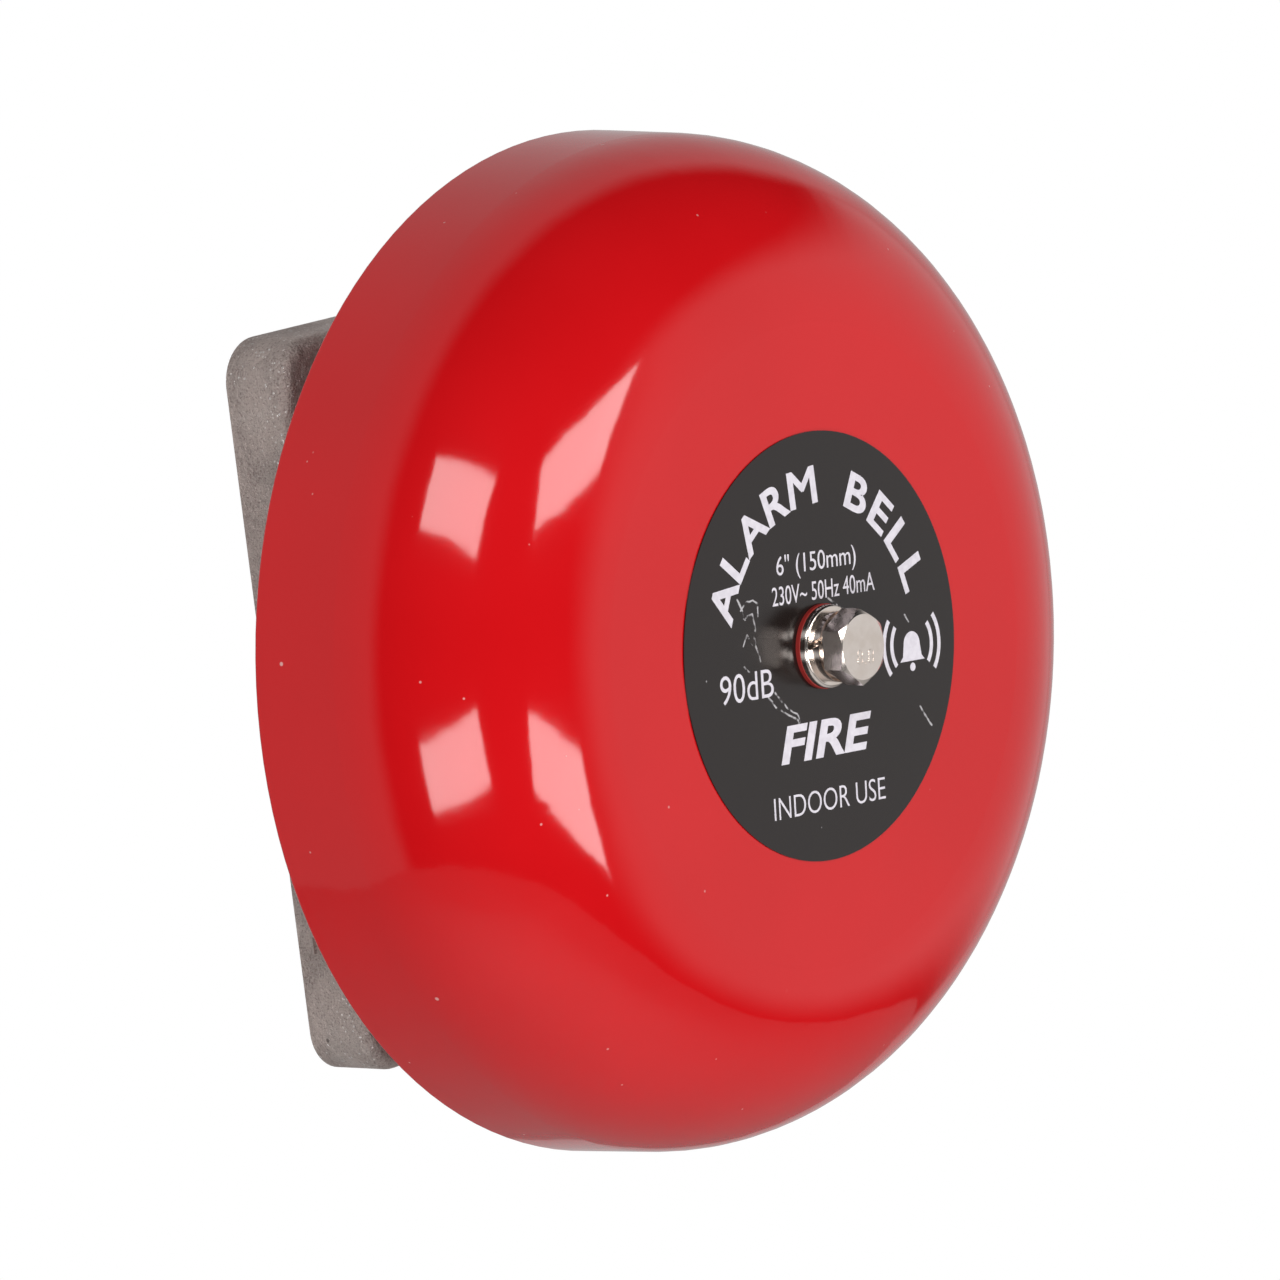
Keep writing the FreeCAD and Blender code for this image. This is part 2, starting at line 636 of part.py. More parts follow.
def hollow_out(body):
    """The castings are open at the back all over."""
    inner = "(tray_half - casting_wall)"
    tray = rounded_outline(body, "tray_hollow", "-" + inner, inner, "-" + inner, inner,
                           "(tray_corner - casting_wall)")
    pocket(body, tray, TRAY_INSIDE)
    housing = rounded_outline(body, "housing_hollow", "(housing_left + casting_wall)", WALL_INSIDE,
                              "-(housing_half - casting_wall)", "(housing_half - casting_wall)",
                              "(housing_corner - casting_wall)")
    pocket(body, housing, HOUSING_INSIDE)
    bay_inner = "(bay_half - casting_wall)"
    bay = rounded_outline(body, "bay_hollow", "-" + bay_inner, bay_inner, "(bay_low + casting_wall)", "-1",
                          "(housing_corner - casting_wall)")
    pocket(body, bay, BAY_INSIDE)


def make_inner_bosses(body):
    """Wall screw bosses, the earth boss, and every hole and thread that opens to the back."""
    corners = [(x + "mount_half", up + "mount_half") for x in ("-", "") for up in ("-", "")]
    bosses = round_outline(body, "mount_bosses", "XY_Plane", corners, "mount_boss")
    pad(body, bosses, TRAY_INSIDE + " + 0.5")
    holes = round_outline(body, "mount_holes", "XY_Plane", corners, "mount_hole")
    pocket(body, holes, "tray_depth + 1")
    earth = [("earth_x", "earth_up")]
    earth_boss = round_outline(body, "earth_boss_outline", "XY_Plane", earth, "earth_boss",
                               height="earth_face")
    pad(body, earth_boss, TRAY_INSIDE + " - earth_face + 0.5")
    thread = "screw_radius + thread_play"
    earth_hole = round_outline(body, "earth_thread", "XY_Plane", earth, thread, height="earth_face")
    pocket(body, earth_hole, "tray_depth - earth_face - 0.6")
    lug_threads = round_outline(body, "lug_threads", "XY_Plane", lug_places(), thread, height=TRAY_INSIDE)
    pocket(body, lug_threads, "casting_wall + lug_height - 0.8")
    screws = round_outline(body, "frame_screw_threads", "XY_Plane",
                           [(x, "0") for x in frame_screw_places()], thread, height=HOUSING_INSIDE)
    pocket(body, screws, "casting_wall + pip_height - 1.2")
    block_hole = round_outline(body, "block_screw_thread", "XY_Plane",
                               [("0", "(block_low + block_high) / 2")], "terminal_screw + thread_play",
                               height=BAY_INSIDE)
    pocket(body, block_hole, "casting_wall + pip_height - 2.2")
    bush = round_outline(body, "bush_hole", "YZ_Plane", [("0", "axis_out")], "bush_radius",
                         height="housing_right")
    pocket(body, bush, "casting_wall + 1", forward=False)
    wall_middle = "(tray_half - casting_wall / 2)"
    slot = [("-notch_radius", "-1"), ("notch_radius", "-1"), ("notch_radius", "notch_out + notch_facet"),
            ("notch_facet", "notch_out + notch_radius"), ("-notch_facet", "notch_out + notch_radius"),
            ("-notch_radius", "notch_out + notch_facet")]
    outer_face = "(tray_half + 1)"
    cable_slot = corner_outline(body, "cable_slot", "XZ_Plane", slot, height=outer_face)
    pocket(body, cable_slot, outer_face + " - " + wall_middle + " + casting_wall", forward=False)


def make_gate_stub(body):
    """What is left of the casting gate on the left side."""
    side = "(tray_half - casting_wall / 2)"
    stub = [("gate_low", "0.8"), ("gate_high", "0.8"), ("gate_high", "(0.8 + gate_width)"),
            ("gate_low", "(0.8 + gate_width)")]
    outline = corner_outline(body, "gate_outline", "YZ_Plane", stub, height="-" + side)
    pad(body, outline, "casting_wall / 2 + gate_proud", reverse=True)


# ---- the solenoid

def frame_screw_places():
    """Where the two frame screws stand along X."""
    return ["(frame_left - tab_screw)", "(frame_right + tab_screw)"]


def make_solenoid_frame():
    """A bent steel strip: a foot on the housing's inner face and a leg at each end of the coil."""
    foot_back = "(" + HOUSING_INSIDE + " - frame_plate)"
    foot = box("frame_foot", "frame_left - frame_tab", "frame_right + frame_tab", foot_back, HOUSING_INSIDE,
               "-frame_half", "frame_half")
    legs = []
    for side, left in (("left", "frame_left"), ("right", COIL_RIGHT)):
        legs.append(box("frame_leg_" + side, left, left + " + frame_plate", "frame_back", HOUSING_INSIDE,
                        "-frame_half", "frame_half"))
    holes = [round_bar("frame_core_hole", "core_outer", "frame_right - frame_left + 2", ALONG_X,
                       x="frame_left - 1", out="axis_out")]
    for side, x in zip(("left", "right"), frame_screw_places()):
        holes.append(round_bar("frame_screw_hole_" + side, "screw_radius + 0.2", "frame_plate + 2",
                               FACING_OUT, x=x, out="(" + foot_back + " - 1)"))
    frame = cut("solenoid_frame", joined("frame_strip", [foot] + legs), joined("frame_holes", holes))
    frame.Label = "solenoid_frame"
    return frame


def make_bobbin():
    """A moulded reel between the frame's legs."""
    length = "(" + COIL_RIGHT + " - " + COIL_LEFT + ")"
    inner_cheek = "(" + length + " - bobbin_cheek)"
    corners = [("core_outer", "0"), ("bobbin_flange", "0"), ("bobbin_flange", "bobbin_cheek"),
               ("bobbin_outer", "bobbin_cheek"), ("bobbin_outer", inner_cheek),
               ("bobbin_flange", inner_cheek), ("bobbin_flange", length), ("core_outer", length)]
    return turned("bobbin", corners, ALONG_X, x=COIL_LEFT, out="axis_out")


def make_coil():
    """The copper winding and the tape round its middle."""
    length = "(" + COIL_RIGHT + " - " + COIL_LEFT + " - 2 * bobbin_cheek)"
    left = "(" + COIL_LEFT + " + bobbin_cheek)"
    winding = ring("coil_winding", "bobbin_outer", "winding_radius", length, ALONG_X, x=left,
                   out="axis_out")
    tape = ring("coil_tape", "winding_radius", "tape_radius", length + " - 2 * tape_margin", ALONG_X,
                x=left + " + tape_margin", out="axis_out")
    return [winding, tape]


def make_core_tube():
    """The brass tube that the plunger slides in."""
    return ring("core_tube", "core_inner", "core_outer", "frame_right - frame_left", ALONG_X,
                x="frame_left", out="axis_out")


def make_buffer():
    """The rubber pad that the plunger comes back to."""
    return round_node("rear_buffer", "buffer_radius", "buffer_thickness", ALONG_X,
                      x="(housing_left + casting_wall)", out="axis_out")


def round_node(name, radius, length, rotation, **where):
    """A plain round piece that is a node of its own."""
    piece = round_bar(name, radius, length, rotation, **where)
    piece.Label = name
    return piece


def make_guide_bush():
    """The flanged bush in the housing's right wall."""
    inner = "(rod_radius + running_play)"
    end = "(bush_lip + casting_wall + bush_nose)"
    corners = [(inner, "0"), ("bush_flange", "0"), ("bush_flange", "bush_lip"), ("bush_radius", "bush_lip"),
               ("bush_radius", end), (inner, end)]
    return turned("guide_bush", corners, ALONG_X, x=WALL_INSIDE + " - bush_lip", out="axis_out")


# ---- the striker

def make_plunger():
    """A steel plunger with a blind socket for the rod."""
    length = "(plunger_front - plunger_rear)"
    socket = "(" + length + " - rod_socket)"
    corners = [("0", "0"), ("plunger_radius - 0.5", "0"), ("plunger_radius", "0.5"),
               ("plunger_radius", length), ("rod_radius", length), ("rod_radius", socket), ("0", socket)]
    return turned("plunger", corners, ALONG_X, x="plunger_rear", out="axis_out")


def make_rod():
    """The rod that carries the tip, with a groove for the retaining clip."""
    start = "(plunger_front - rod_socket)"
    length = "(" + TIP_REAR + " + tip_socket - " + start + ")"
    groove = "(clip_left - " + start + ")"
    groove_end = "(clip_left + clip_thickness - " + start + ")"
    corners = [("0", "0"), ("rod_radius", "0"), ("rod_radius", groove), ("clip_groove", groove),
               ("clip_groove", groove_end), ("rod_radius", groove_end), ("rod_radius", length),
               ("0", length)]
    return turned("striker_rod", corners, ALONG_X, x=start, out="axis_out")


def make_tip():
    """The nylon nose that hits the gong."""
    corners = [("rod_radius", "0"), ("tip_radius", "0"), ("tip_radius", "tip_length"), ("0", "tip_length"),
               ("0", "tip_socket"), ("rod_radius", "tip_socket")]
    tip = turned("striker_tip", corners, ALONG_X, x=TIP_REAR, out="axis_out")
    nose = value("tip_length") - 0.01
    round_over(tip, "tip_dome", lambda edge: edge.BoundBox.ZMin > nose and edge.BoundBox.XLength > 1)
    return tip


def make_clip():
    """A spring-steel clip in the rod's groove, open towards the wall."""
    disc = round_bar("clip_disc", "clip_radius", "clip_thickness", ALONG_X, x="clip_left", out="axis_out")
    bore = round_bar("clip_bore", "clip_groove", "clip_thickness", ALONG_X, x="clip_left", out="axis_out")
    mouth = box("clip_mouth_cut", "clip_left", "clip_left + clip_thickness", "axis_out - clip_radius - 1",
                "axis_out", "-clip_mouth", "clip_mouth")
    clip = cut("retaining_clip", disc, joined("clip_opening", [bore, mouth]))
    clip.Label = "retaining_clip"
    return clip


def make_spring_seat():
    """The washer between clip and spring."""
    return ring("spring_seat", "rod_radius", "seat_radius", "seat_thickness", ALONG_X, x=SEAT_LEFT,
                out="axis_out")


def make_return_spring():
    """An open coil between the spring seat and the guide bush."""
    room = "(" + WALL_INSIDE + " - bush_lip - " + SEAT_RIGHT + " - 2 * wire_radius - 0.2)"
    start = "(" + SEAT_RIGHT + " + wire_radius + 0.1)"
    path = doc.addObject("Part::Helix", "spring_path")
    path.setExpression("Radius", bound("coil_radius"))
    path.setExpression("Height", bound(room))
    path.setExpression("Pitch", bound(room + " / spring_turns"))
    place(path, ALONG_X, x=start, out="axis_out")
    section = doc.addObject("Part::Circle", "spring_section")
    section.setExpression("Radius", bound("wire_radius"))
    # The helix starts on its own x, which lies along the row's -Z, and runs across Y there.
    across = FreeCAD.Rotation(Vector(1, 0, 0), 90)
    place(section, across, x=start, out="axis_out", up="-coil_radius")
    spring = doc.addObject("Part::Sweep", "return_spring")
    spring.Sections = [section]
    spring.Spine = (path, [])
    spring.Solid = True
    spring.Frenet = True
    spring.Label = "return_spring"
    return spring


# ---- screws

def slotted_screw(name, radius, length, head, head_height, x, out, up):
    """A cheese-head screw: out is the underside of the head, whose shank points away from the wall."""
    shank = round_bar(name + "_shank", radius, length, FACING_OUT, x=x, out=out, up=up)
    cap = round_bar(name + "_head", head, head_height, FACING_WALL, x=x, out=out, up=up)
    back = "(%s - %s)" % (out, head_height)
    slot = box(name + "_slot", "%s - %s - 1" % (x, head), "%s + %s + 1" % (x, head), back + " - 1",
               back + " + slot_depth", "%s - slot_width / 2" % up, "%s + slot_width / 2" % up)
    return cut(name, joined(name + "_blank", [shank, cap]), slot)


def make_frame_screws():
    """Two M4 screws with washers hold the solenoid frame."""
    foot_back = "(" + HOUSING_INSIDE + " - frame_plate)"
    head_under = "(" + foot_back + " - small_washer_thickness)"
    screws = []
    washers = []
    for side, x in zip(("left", "right"), frame_screw_places()):
        screws.append(slotted_screw("frame_screw_" + side, "screw_radius", "screw_length", "screw_head",
                                    "screw_head_height", x, head_under, "0"))
        washers.append(ring("frame_screw_washer_" + side, "screw_radius + 0.2", "small_washer",
                            "small_washer_thickness", FACING_OUT, x=x, out=head_under))
    return [group("frame_screws", screws), group("frame_screw_washers", washers)]


def make_earth_screw():
    """The earth screw and its washer on their boss in the tray."""
    under = "(earth_face - small_washer_thickness)"
    screw = slotted_screw("earth_screw", "screw_radius", "tray_depth - earth_face", "screw_head",
                          "screw_head_height", "earth_x", under, "earth_up")
    screw.Label = "earth_screw"
    washer = ring("earth_washer", "screw_radius + 0.2", "small_washer", "small_washer_thickness",
                  FACING_OUT, x="earth_x", out=under, up="earth_up")
    return [screw, washer]


def make_housing_screws():
    """Four M4 screws from behind hold the housing on the tray."""
    screws = []
    length = "casting_wall + lug_height - 1.2"
    for index, (x, up) in enumerate(lug_places()):
        screws.append(slotted_screw("housing_screw_%d" % index, "screw_radius", length, "screw_head",
                                    "screw_head_height", x, TRAY_INSIDE, up))
    return group("housing_screws", screws)


# ---- terminals, leads and grommet

BLOCK_MIDDLE = "((block_low + block_high) / 2)"
BLOCK_BACK = "(" + BAY_INSIDE + " - block_height)"
CHANNEL_OUT = "(" + BAY_INSIDE + " - channel_floor - channel / 2)"


def pole_places():
    """The live pole on the left and the neutral pole on the right."""
    return ["(-pole_x)", "(pole_x)"]


def make_terminal_block():
    """A moulded two-way block: a square wire channel and a screw well for each pole."""
    blank = box("block_blank", "-block_half", "block_half", BLOCK_BACK, BAY_INSIDE, "block_low",
                "block_high")
    hollows = []
    for side, x in zip(("live", "neutral"), pole_places()):
        hollows.append(box("block_channel_" + side, x + " - channel / 2", x + " + channel / 2",
                           CHANNEL_OUT + " - channel / 2", CHANNEL_OUT + " + channel / 2",
                           "block_low - 1", "block_high + 1"))
        hollows.append(round_bar("block_well_" + side, "well_radius",
                                 "block_height - channel_floor - channel", FACING_OUT, x=x,
                                 out=BLOCK_BACK, up=BLOCK_MIDDLE))
    hollows.append(round_bar("block_hole", "terminal_screw + 0.15", "block_height + 2", FACING_OUT,
                             out="(" + BLOCK_BACK + " - 1)", up=BLOCK_MIDDLE))
    hollows.append(round_bar("block_recess", "terminal_head + 0.2", "terminal_head_height + 1.5",
                             FACING_OUT, out="(" + BLOCK_BACK + " - 0.1)", up=BLOCK_MIDDLE))
    block = cut("terminal_block", blank, joined("block_hollows", hollows))
    block.Label = "terminal_block"
    return block


def make_terminals():
    """A brass clamp and its screw in each pole of the block."""
    clamps = []
    screws = []
    clamp_back = "(" + CHANNEL_OUT + " - clamp_side / 2)"
    # the screw ends on the lead, which lies at the front of the clamp's hole
    reach = "(" + CHANNEL_OUT + " + clamp_bore - 2 * lead_radius)"
    head_under = "(" + BLOCK_BACK + " + terminal_head_height + 0.6)"
    for side, x in zip(("live", "neutral"), pole_places()):
        blank = box("clamp_blank_" + side, x + " - clamp_side / 2", x + " + clamp_side / 2", clamp_back,
                    CHANNEL_OUT + " + clamp_side / 2", BLOCK_MIDDLE + " - clamp_length / 2",
                    BLOCK_MIDDLE + " + clamp_length / 2")
        bore = round_bar("clamp_bore_" + side, "clamp_bore", "clamp_length + 2", HANGING, x=x,
                         out=CHANNEL_OUT, up=BLOCK_MIDDLE + " + clamp_length / 2 + 1")
        thread = round_bar("clamp_thread_" + side, "terminal_screw + thread_play", "clamp_side / 2 + 1",
                           FACING_OUT, x=x, out="(" + clamp_back + " - 1)", up=BLOCK_MIDDLE)
        clamps.append(cut("terminal_clamp_" + side, blank, joined("clamp_holes_" + side, [bore, thread])))
        screws.append(slotted_screw("terminal_screw_" + side, "terminal_screw", reach + " - " + head_under,
                                    "terminal_head", "terminal_head_height", x, head_under, BLOCK_MIDDLE))
    under = "(" + BLOCK_BACK + " + terminal_head_height + 1.4)"
    fixing = slotted_screw("terminal_block_screw", "terminal_screw",
                           BAY_INSIDE + " + casting_wall + pip_height - 2.8 - " + under, "terminal_head",
                           "terminal_head_height", "0", under, BLOCK_MIDDLE)
    fixing.Label = "terminal_block_screw"
    return [group("terminal_clamps", clamps), group("terminal_screws", screws), fixing]


def bent_path(spots):
    """Straight runs through the spots, joined by arcs as large as the shorter run of each pair allows."""
    edges = []
    start = spots[0]
    for before, corner, after in zip(spots, spots[1:], spots[2:]):
        to_corner = (corner - before).normalize()
        from_corner = (after - corner).normalize()
        cut_back = 0.45 * min((corner - before).Length, (after - corner).Length)
        arc_start = corner - to_corner * cut_back
        arc_end = corner + from_corner * cut_back
        half_turn = to_corner.getAngle(from_corner) / 2
        inward = (from_corner - to_corner).normalize()
        radius = cut_back / math.tan(half_turn)
        print("bend radius %.1f mm" % radius)
        arc_middle = corner + inward * (radius / math.cos(half_turn) - radius)
        edges.append(Part.LineSegment(start, arc_start).toShape())
        edges.append(Part.Arc(arc_start, arc_middle, arc_end).toShape())
        start = arc_end
    edges.append(Part.LineSegment(start, spots[-1]).toShape())
    return Part.Wire(edges)


def make_lead(name, start_x, pole):
    """An insulated lead from the winding, down to its terminal."""
    start_out = value("axis_out - 10.6")
    clamp_out = value(CHANNEL_OUT + " + clamp_bore - lead_radius")
    spots = [Vector(value(start_x), -start_out, value("lead_top")),
             Vector(value(start_x), -start_out, value("lead_upper_bend")),
             Vector(value(pole), -clamp_out, value("lead_lower_bend")),
             Vector(value(pole), -clamp_out, value(BLOCK_MIDDLE + " - lead_past_screw"))]
    path = bent_path(spots)
    direction = (spots[1] - spots[0]).normalize()
    circle = Part.Wire(Part.Circle(spots[0], direction, value("lead_radius")).toShape())
    lead = doc.addObject("Part::Feature", name)
    lead.Shape = path.makePipeShell([circle], True, False)
    lead.Label = name
    return lead


def make_grommet():
    """The rubber grommet in the bottom wall, on the cable's axis."""
    wall = "(casting_wall + 0.2)"
    inner_lip = "(grommet_lip + " + wall + ")"
    end = "(2 * grommet_lip + " + wall + ")"
    groove = "(notch_radius - 0.05)"
    corners = [("cable_radius", "0"), ("grommet_flange", "0"), ("grommet_flange", "grommet_lip"),
               (groove, "grommet_lip"), (groove, inner_lip), ("grommet_flange", inner_lip),
               ("grommet_flange", end), ("cable_radius", end)]
    return turned("cable_grommet", corners, HANGING, out="notch_out",
                  up="-(tray_half - casting_wall - 0.1) + grommet_lip + 0.1")


nodes = [
    *make_base(), make_gong(), make_label(),
    *make_fibre_washers(), make_flat_washer(), make_spring_washer(), make_bolt(),
    make_solenoid_frame(), make_bobbin(), *make_coil(), make_core_tube(), make_buffer(), make_guide_bush(),
    make_plunger(), make_rod(), make_tip(), make_clip(), make_spring_seat(), make_return_spring(),
    *make_frame_screws(), make_housing_screws(), *make_earth_screw(),
    make_terminal_block(), *make_terminals(),
    make_lead("lead_wire_live", "lead_left", "-pole_x"),
    make_lead("lead_wire_neutral", "lead_right", "pole_x"), make_grommet(),
]
doc.recompute()

for item in doc.Objects:
    if "Invalid" in item.State or "Error" in item.State:
        raise RuntimeError(item.Name + " did not build: " + str(item.State))
for node in nodes:
    if node.Shape.isNull() or not node.Shape.isValid():
        raise RuntimeError(node.Label + " has no valid shape")

os.makedirs("parts", exist_ok=True)
for node in nodes:
    node.Shape.exportStep("parts/" + node.Label + ".step")
    print("%-22s %d solid(s), %9.1f mm3" % (node.Label, len(node.Shape.Solids), node.Shape.Volume))
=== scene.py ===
import json
import math

import bpy
from mathutils import Matrix, Vector


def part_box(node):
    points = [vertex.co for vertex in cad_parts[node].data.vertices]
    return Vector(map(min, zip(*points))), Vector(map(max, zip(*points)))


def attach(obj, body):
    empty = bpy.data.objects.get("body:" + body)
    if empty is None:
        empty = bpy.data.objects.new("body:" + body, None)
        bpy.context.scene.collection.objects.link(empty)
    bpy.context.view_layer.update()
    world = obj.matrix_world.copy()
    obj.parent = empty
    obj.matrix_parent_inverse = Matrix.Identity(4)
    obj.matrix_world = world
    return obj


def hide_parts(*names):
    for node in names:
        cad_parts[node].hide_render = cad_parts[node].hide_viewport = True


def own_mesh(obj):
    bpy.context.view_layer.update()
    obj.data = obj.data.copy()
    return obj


# A wall-mounted alarm bell: a red enamelled gong, held to a cast base by one bolt through a printed disc.
# Metres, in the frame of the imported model: X to the right, Z up, and the gong towards -Y.

MM = 0.001

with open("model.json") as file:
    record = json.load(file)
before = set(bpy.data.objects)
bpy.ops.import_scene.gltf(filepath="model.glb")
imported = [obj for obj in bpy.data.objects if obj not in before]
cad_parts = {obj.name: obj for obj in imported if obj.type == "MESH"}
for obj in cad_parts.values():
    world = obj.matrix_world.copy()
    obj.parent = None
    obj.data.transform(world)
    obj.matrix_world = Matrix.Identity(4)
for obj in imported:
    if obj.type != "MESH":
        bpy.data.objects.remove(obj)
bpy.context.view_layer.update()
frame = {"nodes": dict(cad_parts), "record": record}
NODES = frame["nodes"]


# ---- node trees

class Field:
    """A socket whose value varies over a surface. Sums and products of fields add their own Math nodes."""

    def __init__(self, nodes, socket):
        self.nodes = nodes
        self.socket = socket

    def __add__(self, other):
        return self.nodes.maths("ADD", self, other)

    def __sub__(self, other):
        return self.nodes.maths("SUBTRACT", self, other)

    def __rsub__(self, other):
        return self.nodes.maths("SUBTRACT", other, self)

    def __mul__(self, other):
        return self.nodes.maths("MULTIPLY", self, other)

    def __truediv__(self, other):
        return self.nodes.maths("DIVIDE", self, other)

    __radd__ = __add__
    __rmul__ = __mul__


class Nodes:
    """A node tree, and short ways to add to it."""

    def __init__(self, tree):
        self.tree = tree
        tree.nodes.clear()

    def add(self, kind, settings=None, sockets=None, output=0):
        """Any node: its settings first, then the values or links of its sockets."""
        node = self.tree.nodes.new("ShaderNode" + kind)
        for name, setting in (settings or {}).items():
            setattr(node, name, setting)
        for name, given in (sockets or {}).items():
            if isinstance(given, Field):
                self.tree.links.new(given.socket, node.inputs[name])
            else:
                node.inputs[name].default_value = given
        return Field(self, node.outputs[output]) if len(node.outputs) else None

    def maths(self, operation, first, second=0.0):
        return self.add("Math", {"operation": operation}, {0: first, 1: second})

    def rise(self, field, low, high):
        """0 below low and 1 above high, smooth between. With low above high it falls instead."""
        if low > high:
            return 1 - self.rise(field, high, low)
        return self.add("MapRange", {"interpolation_type": "SMOOTHSTEP"}, {0: field, 1: low, 2: high})

    def blend(self, mask, first, second):
        """From the first colour to the second as the mask goes from 0 to 1."""
        return self.add("Mix", {"data_type": "RGBA"}, {0: mask, 6: first, 7: second}, output=2)

    def noise(self, at, scale, detail=2.0, roughness=0.5):
        sockets = {"Vector": at, "Scale": scale, "Detail": detail, "Roughness": roughness}
        return self.add("TexNoise", None, sockets)

    def cells(self, at, scale):
        """The distance to the middle of the nearest cell, and a colour that is different for each cell."""
        distance = self.add("TexVoronoi", None, {"Vector": at, "Scale": scale})
        return distance, Field(self, distance.socket.node.outputs["Color"])

    def stretched(self, at, x, y, z):
        """The pattern's own coordinates, stretched along the row axes."""
        return self.add("Mapping", None, {"Vector": at, "Scale": (x, y, z)})

    def parts(self, at):
        """X, Y and Z of a vector."""
        first = self.add("SeparateXYZ", None, {0: at})
        return [Field(self, socket) for socket in first.socket.node.outputs]

    def bump(self, height, depth, strength=1.0, normal=None):
        sockets = {"Height": height, "Distance": depth, "Strength": strength}
        if normal:
            sockets["Normal"] = normal
        return self.add("Bump", None, sockets)


def finish(name, paint):
    """A material. paint(nodes, at) gives the shader's sockets, where at is the place on the object."""
    material = bpy.data.materials.new(name)
    material.use_nodes = True
    nodes = Nodes(material.node_tree)
    at = nodes.add("TexCoord", output=3)
    shader = nodes.add("BsdfPrincipled", None, paint(nodes, at))
    nodes.add("OutputMaterial", None, {"Surface": shader})
    return material


def colour(red, green, blue):
    return (red, green, blue, 1.0)


# ---- finishes

def enamel(nodes, at):
    """Smooth stoved enamel with dust specks, faint clouds and a little orange peel."""
    clouds = nodes.rise(nodes.noise(at, 22, 3), 0.3, 0.7)
    body = nodes.blend(clouds, colour(0.585, 0.0052, 0.0078), colour(0.625, 0.0066, 0.0098))
    distance, tint = nodes.cells(at, 190)
    chosen = nodes.rise(nodes.parts(tint)[0], 0.90, 0.91)
    specks = nodes.rise(distance, 0.075, 0.04) * chosen
    fine_distance, fine_tint = nodes.cells(at, 420)
    fine_specks = nodes.rise(fine_distance, 0.10, 0.05) * nodes.rise(nodes.parts(fine_tint)[1], 0.955, 0.96)
    dust = nodes.maths("MAXIMUM", specks, fine_specks * 0.6)
    peel = nodes.noise(at, 85, 1) + nodes.noise(at, 420, 1) * 0.12
    return {
        "Base Color": nodes.blend(dust * 0.75, body, colour(0.80, 0.50, 0.47)),
        "Roughness": 0.062 + nodes.noise(at, 60, 2) * 0.03 + dust * 0.4,
        "Normal": nodes.bump(peel + specks * 0.25, 0.00006),
        "IOR": 1.5,
    }


# Scuffs on the printed disc: each runs from place to place, X and Z in millimetres.
SCUFFS = [
    ((-17.5, 10.3), (-16.7, 8.4), (-16.3, 7.0)),
    ((-17.1, 8.5), (-15.6, 9.5), (-14.3, 9.6), (-13.3, 8.7), (-13.6, 6.8)),
    ((-16.5, 7.2), (-14.9, 7.4), (-14.6, 5.7), (-14.9, 3.1), (-14.1, 0.6)),
    ((-17.4, 3.6), (-16.3, 4.9), (-15.4, 3.1)),
    ((-17.9, 1.1), (-16.4, -0.6)),
    ((-13.4, -4.5), (-11.5, -6.6), (-9.7, -8.0), (-7.3, -9.5), (-7.5, -10.7)),
    ((-11.8, -4.4), (-9.5, -7.0), (-7.5, -8.4), (-7.0, -9.6)),
    ((2.4, 6.4), (5.9, 4.0)),
    ((19.4, 0.8), (20.2, -0.5)),
    ((20.8, -13.3), (22.8, -16.5)),
]


SCUFF_WAVER = 1.1 * MM        # how far the waver can shift a scuff, from one side to the other
SCUFF_MIDDLE = 0.07 * MM      # half the width of a scuff's palest part
SCUFF_EDGE = 0.21 * MM        # half its width in all


def film(nodes, at):
    """Glossy printed film: near black, with pale scuffs and dust."""
    waver = nodes.add("TexNoise", None, {"Vector": at, "Scale": 320.0, "Detail": 3.0}, output=1)
    shift = nodes.add("VectorMath", {"operation": "SCALE"}, {0: waver, "Scale": SCUFF_WAVER})
    across, _, up = nodes.parts(nodes.add("VectorMath", {"operation": "ADD"}, {0: at, 1: shift}))
    wear = 0.0
    runs = [run for places in SCUFFS for run in zip(places, places[1:])]
    for (x_from, z_from), (x_to, z_to) in runs:
        along_x, along_z = (x_to - x_from) * MM, (z_to - z_from) * MM
        from_x = across - (x_from * MM + SCUFF_WAVER / 2)
        from_z = up - (z_from * MM + SCUFF_WAVER / 2)
        share = (from_x * along_x + from_z * along_z) / (along_x ** 2 + along_z ** 2)
        share = nodes.maths("MINIMUM", nodes.maths("MAXIMUM", share, 0.0), 1.0)
        off_x, off_z = from_x - share * along_x, from_z - share * along_z
        gap = nodes.maths("SQRT", off_x * off_x + off_z * off_z)
        wear = nodes.maths("MAXIMUM", nodes.rise(gap, SCUFF_EDGE, SCUFF_MIDDLE), wear)
    broken = nodes.rise(nodes.noise(at, 900, 2), 0.40, 0.58)
    distance, tint = nodes.cells(at, 420)
    dust = nodes.rise(distance, 0.09, 0.05) * nodes.rise(nodes.parts(tint)[0], 0.93, 0.94)
    pale = nodes.maths("MAXIMUM", wear * broken, dust * 0.6)
    clouds = nodes.noise(at, 60, 3)
    return {
        "Base Color": nodes.blend(pale * 0.8, colour(0.0125, 0.0080, 0.0070), colour(0.62, 0.60, 0.62)),
        "Roughness": 0.16 + clouds * 0.08 + pale * 0.4,
        "Normal": nodes.bump(clouds + pale * -0.05, 0.00002),
        "IOR": 1.5,
    }


def ink(nodes, at):
    """Screen-printed white."""
    body = nodes.noise(at, 900, 2)
    thick = nodes.rise(body, 0.35, 0.65)
    return {
        "Base Color": nodes.blend(thick, colour(0.70, 0.66, 0.72), colour(0.78, 0.74, 0.80)),
        "Roughness": 0.38 + body * 0.12,
        "Normal": nodes.bump(body, 0.00001),
    }


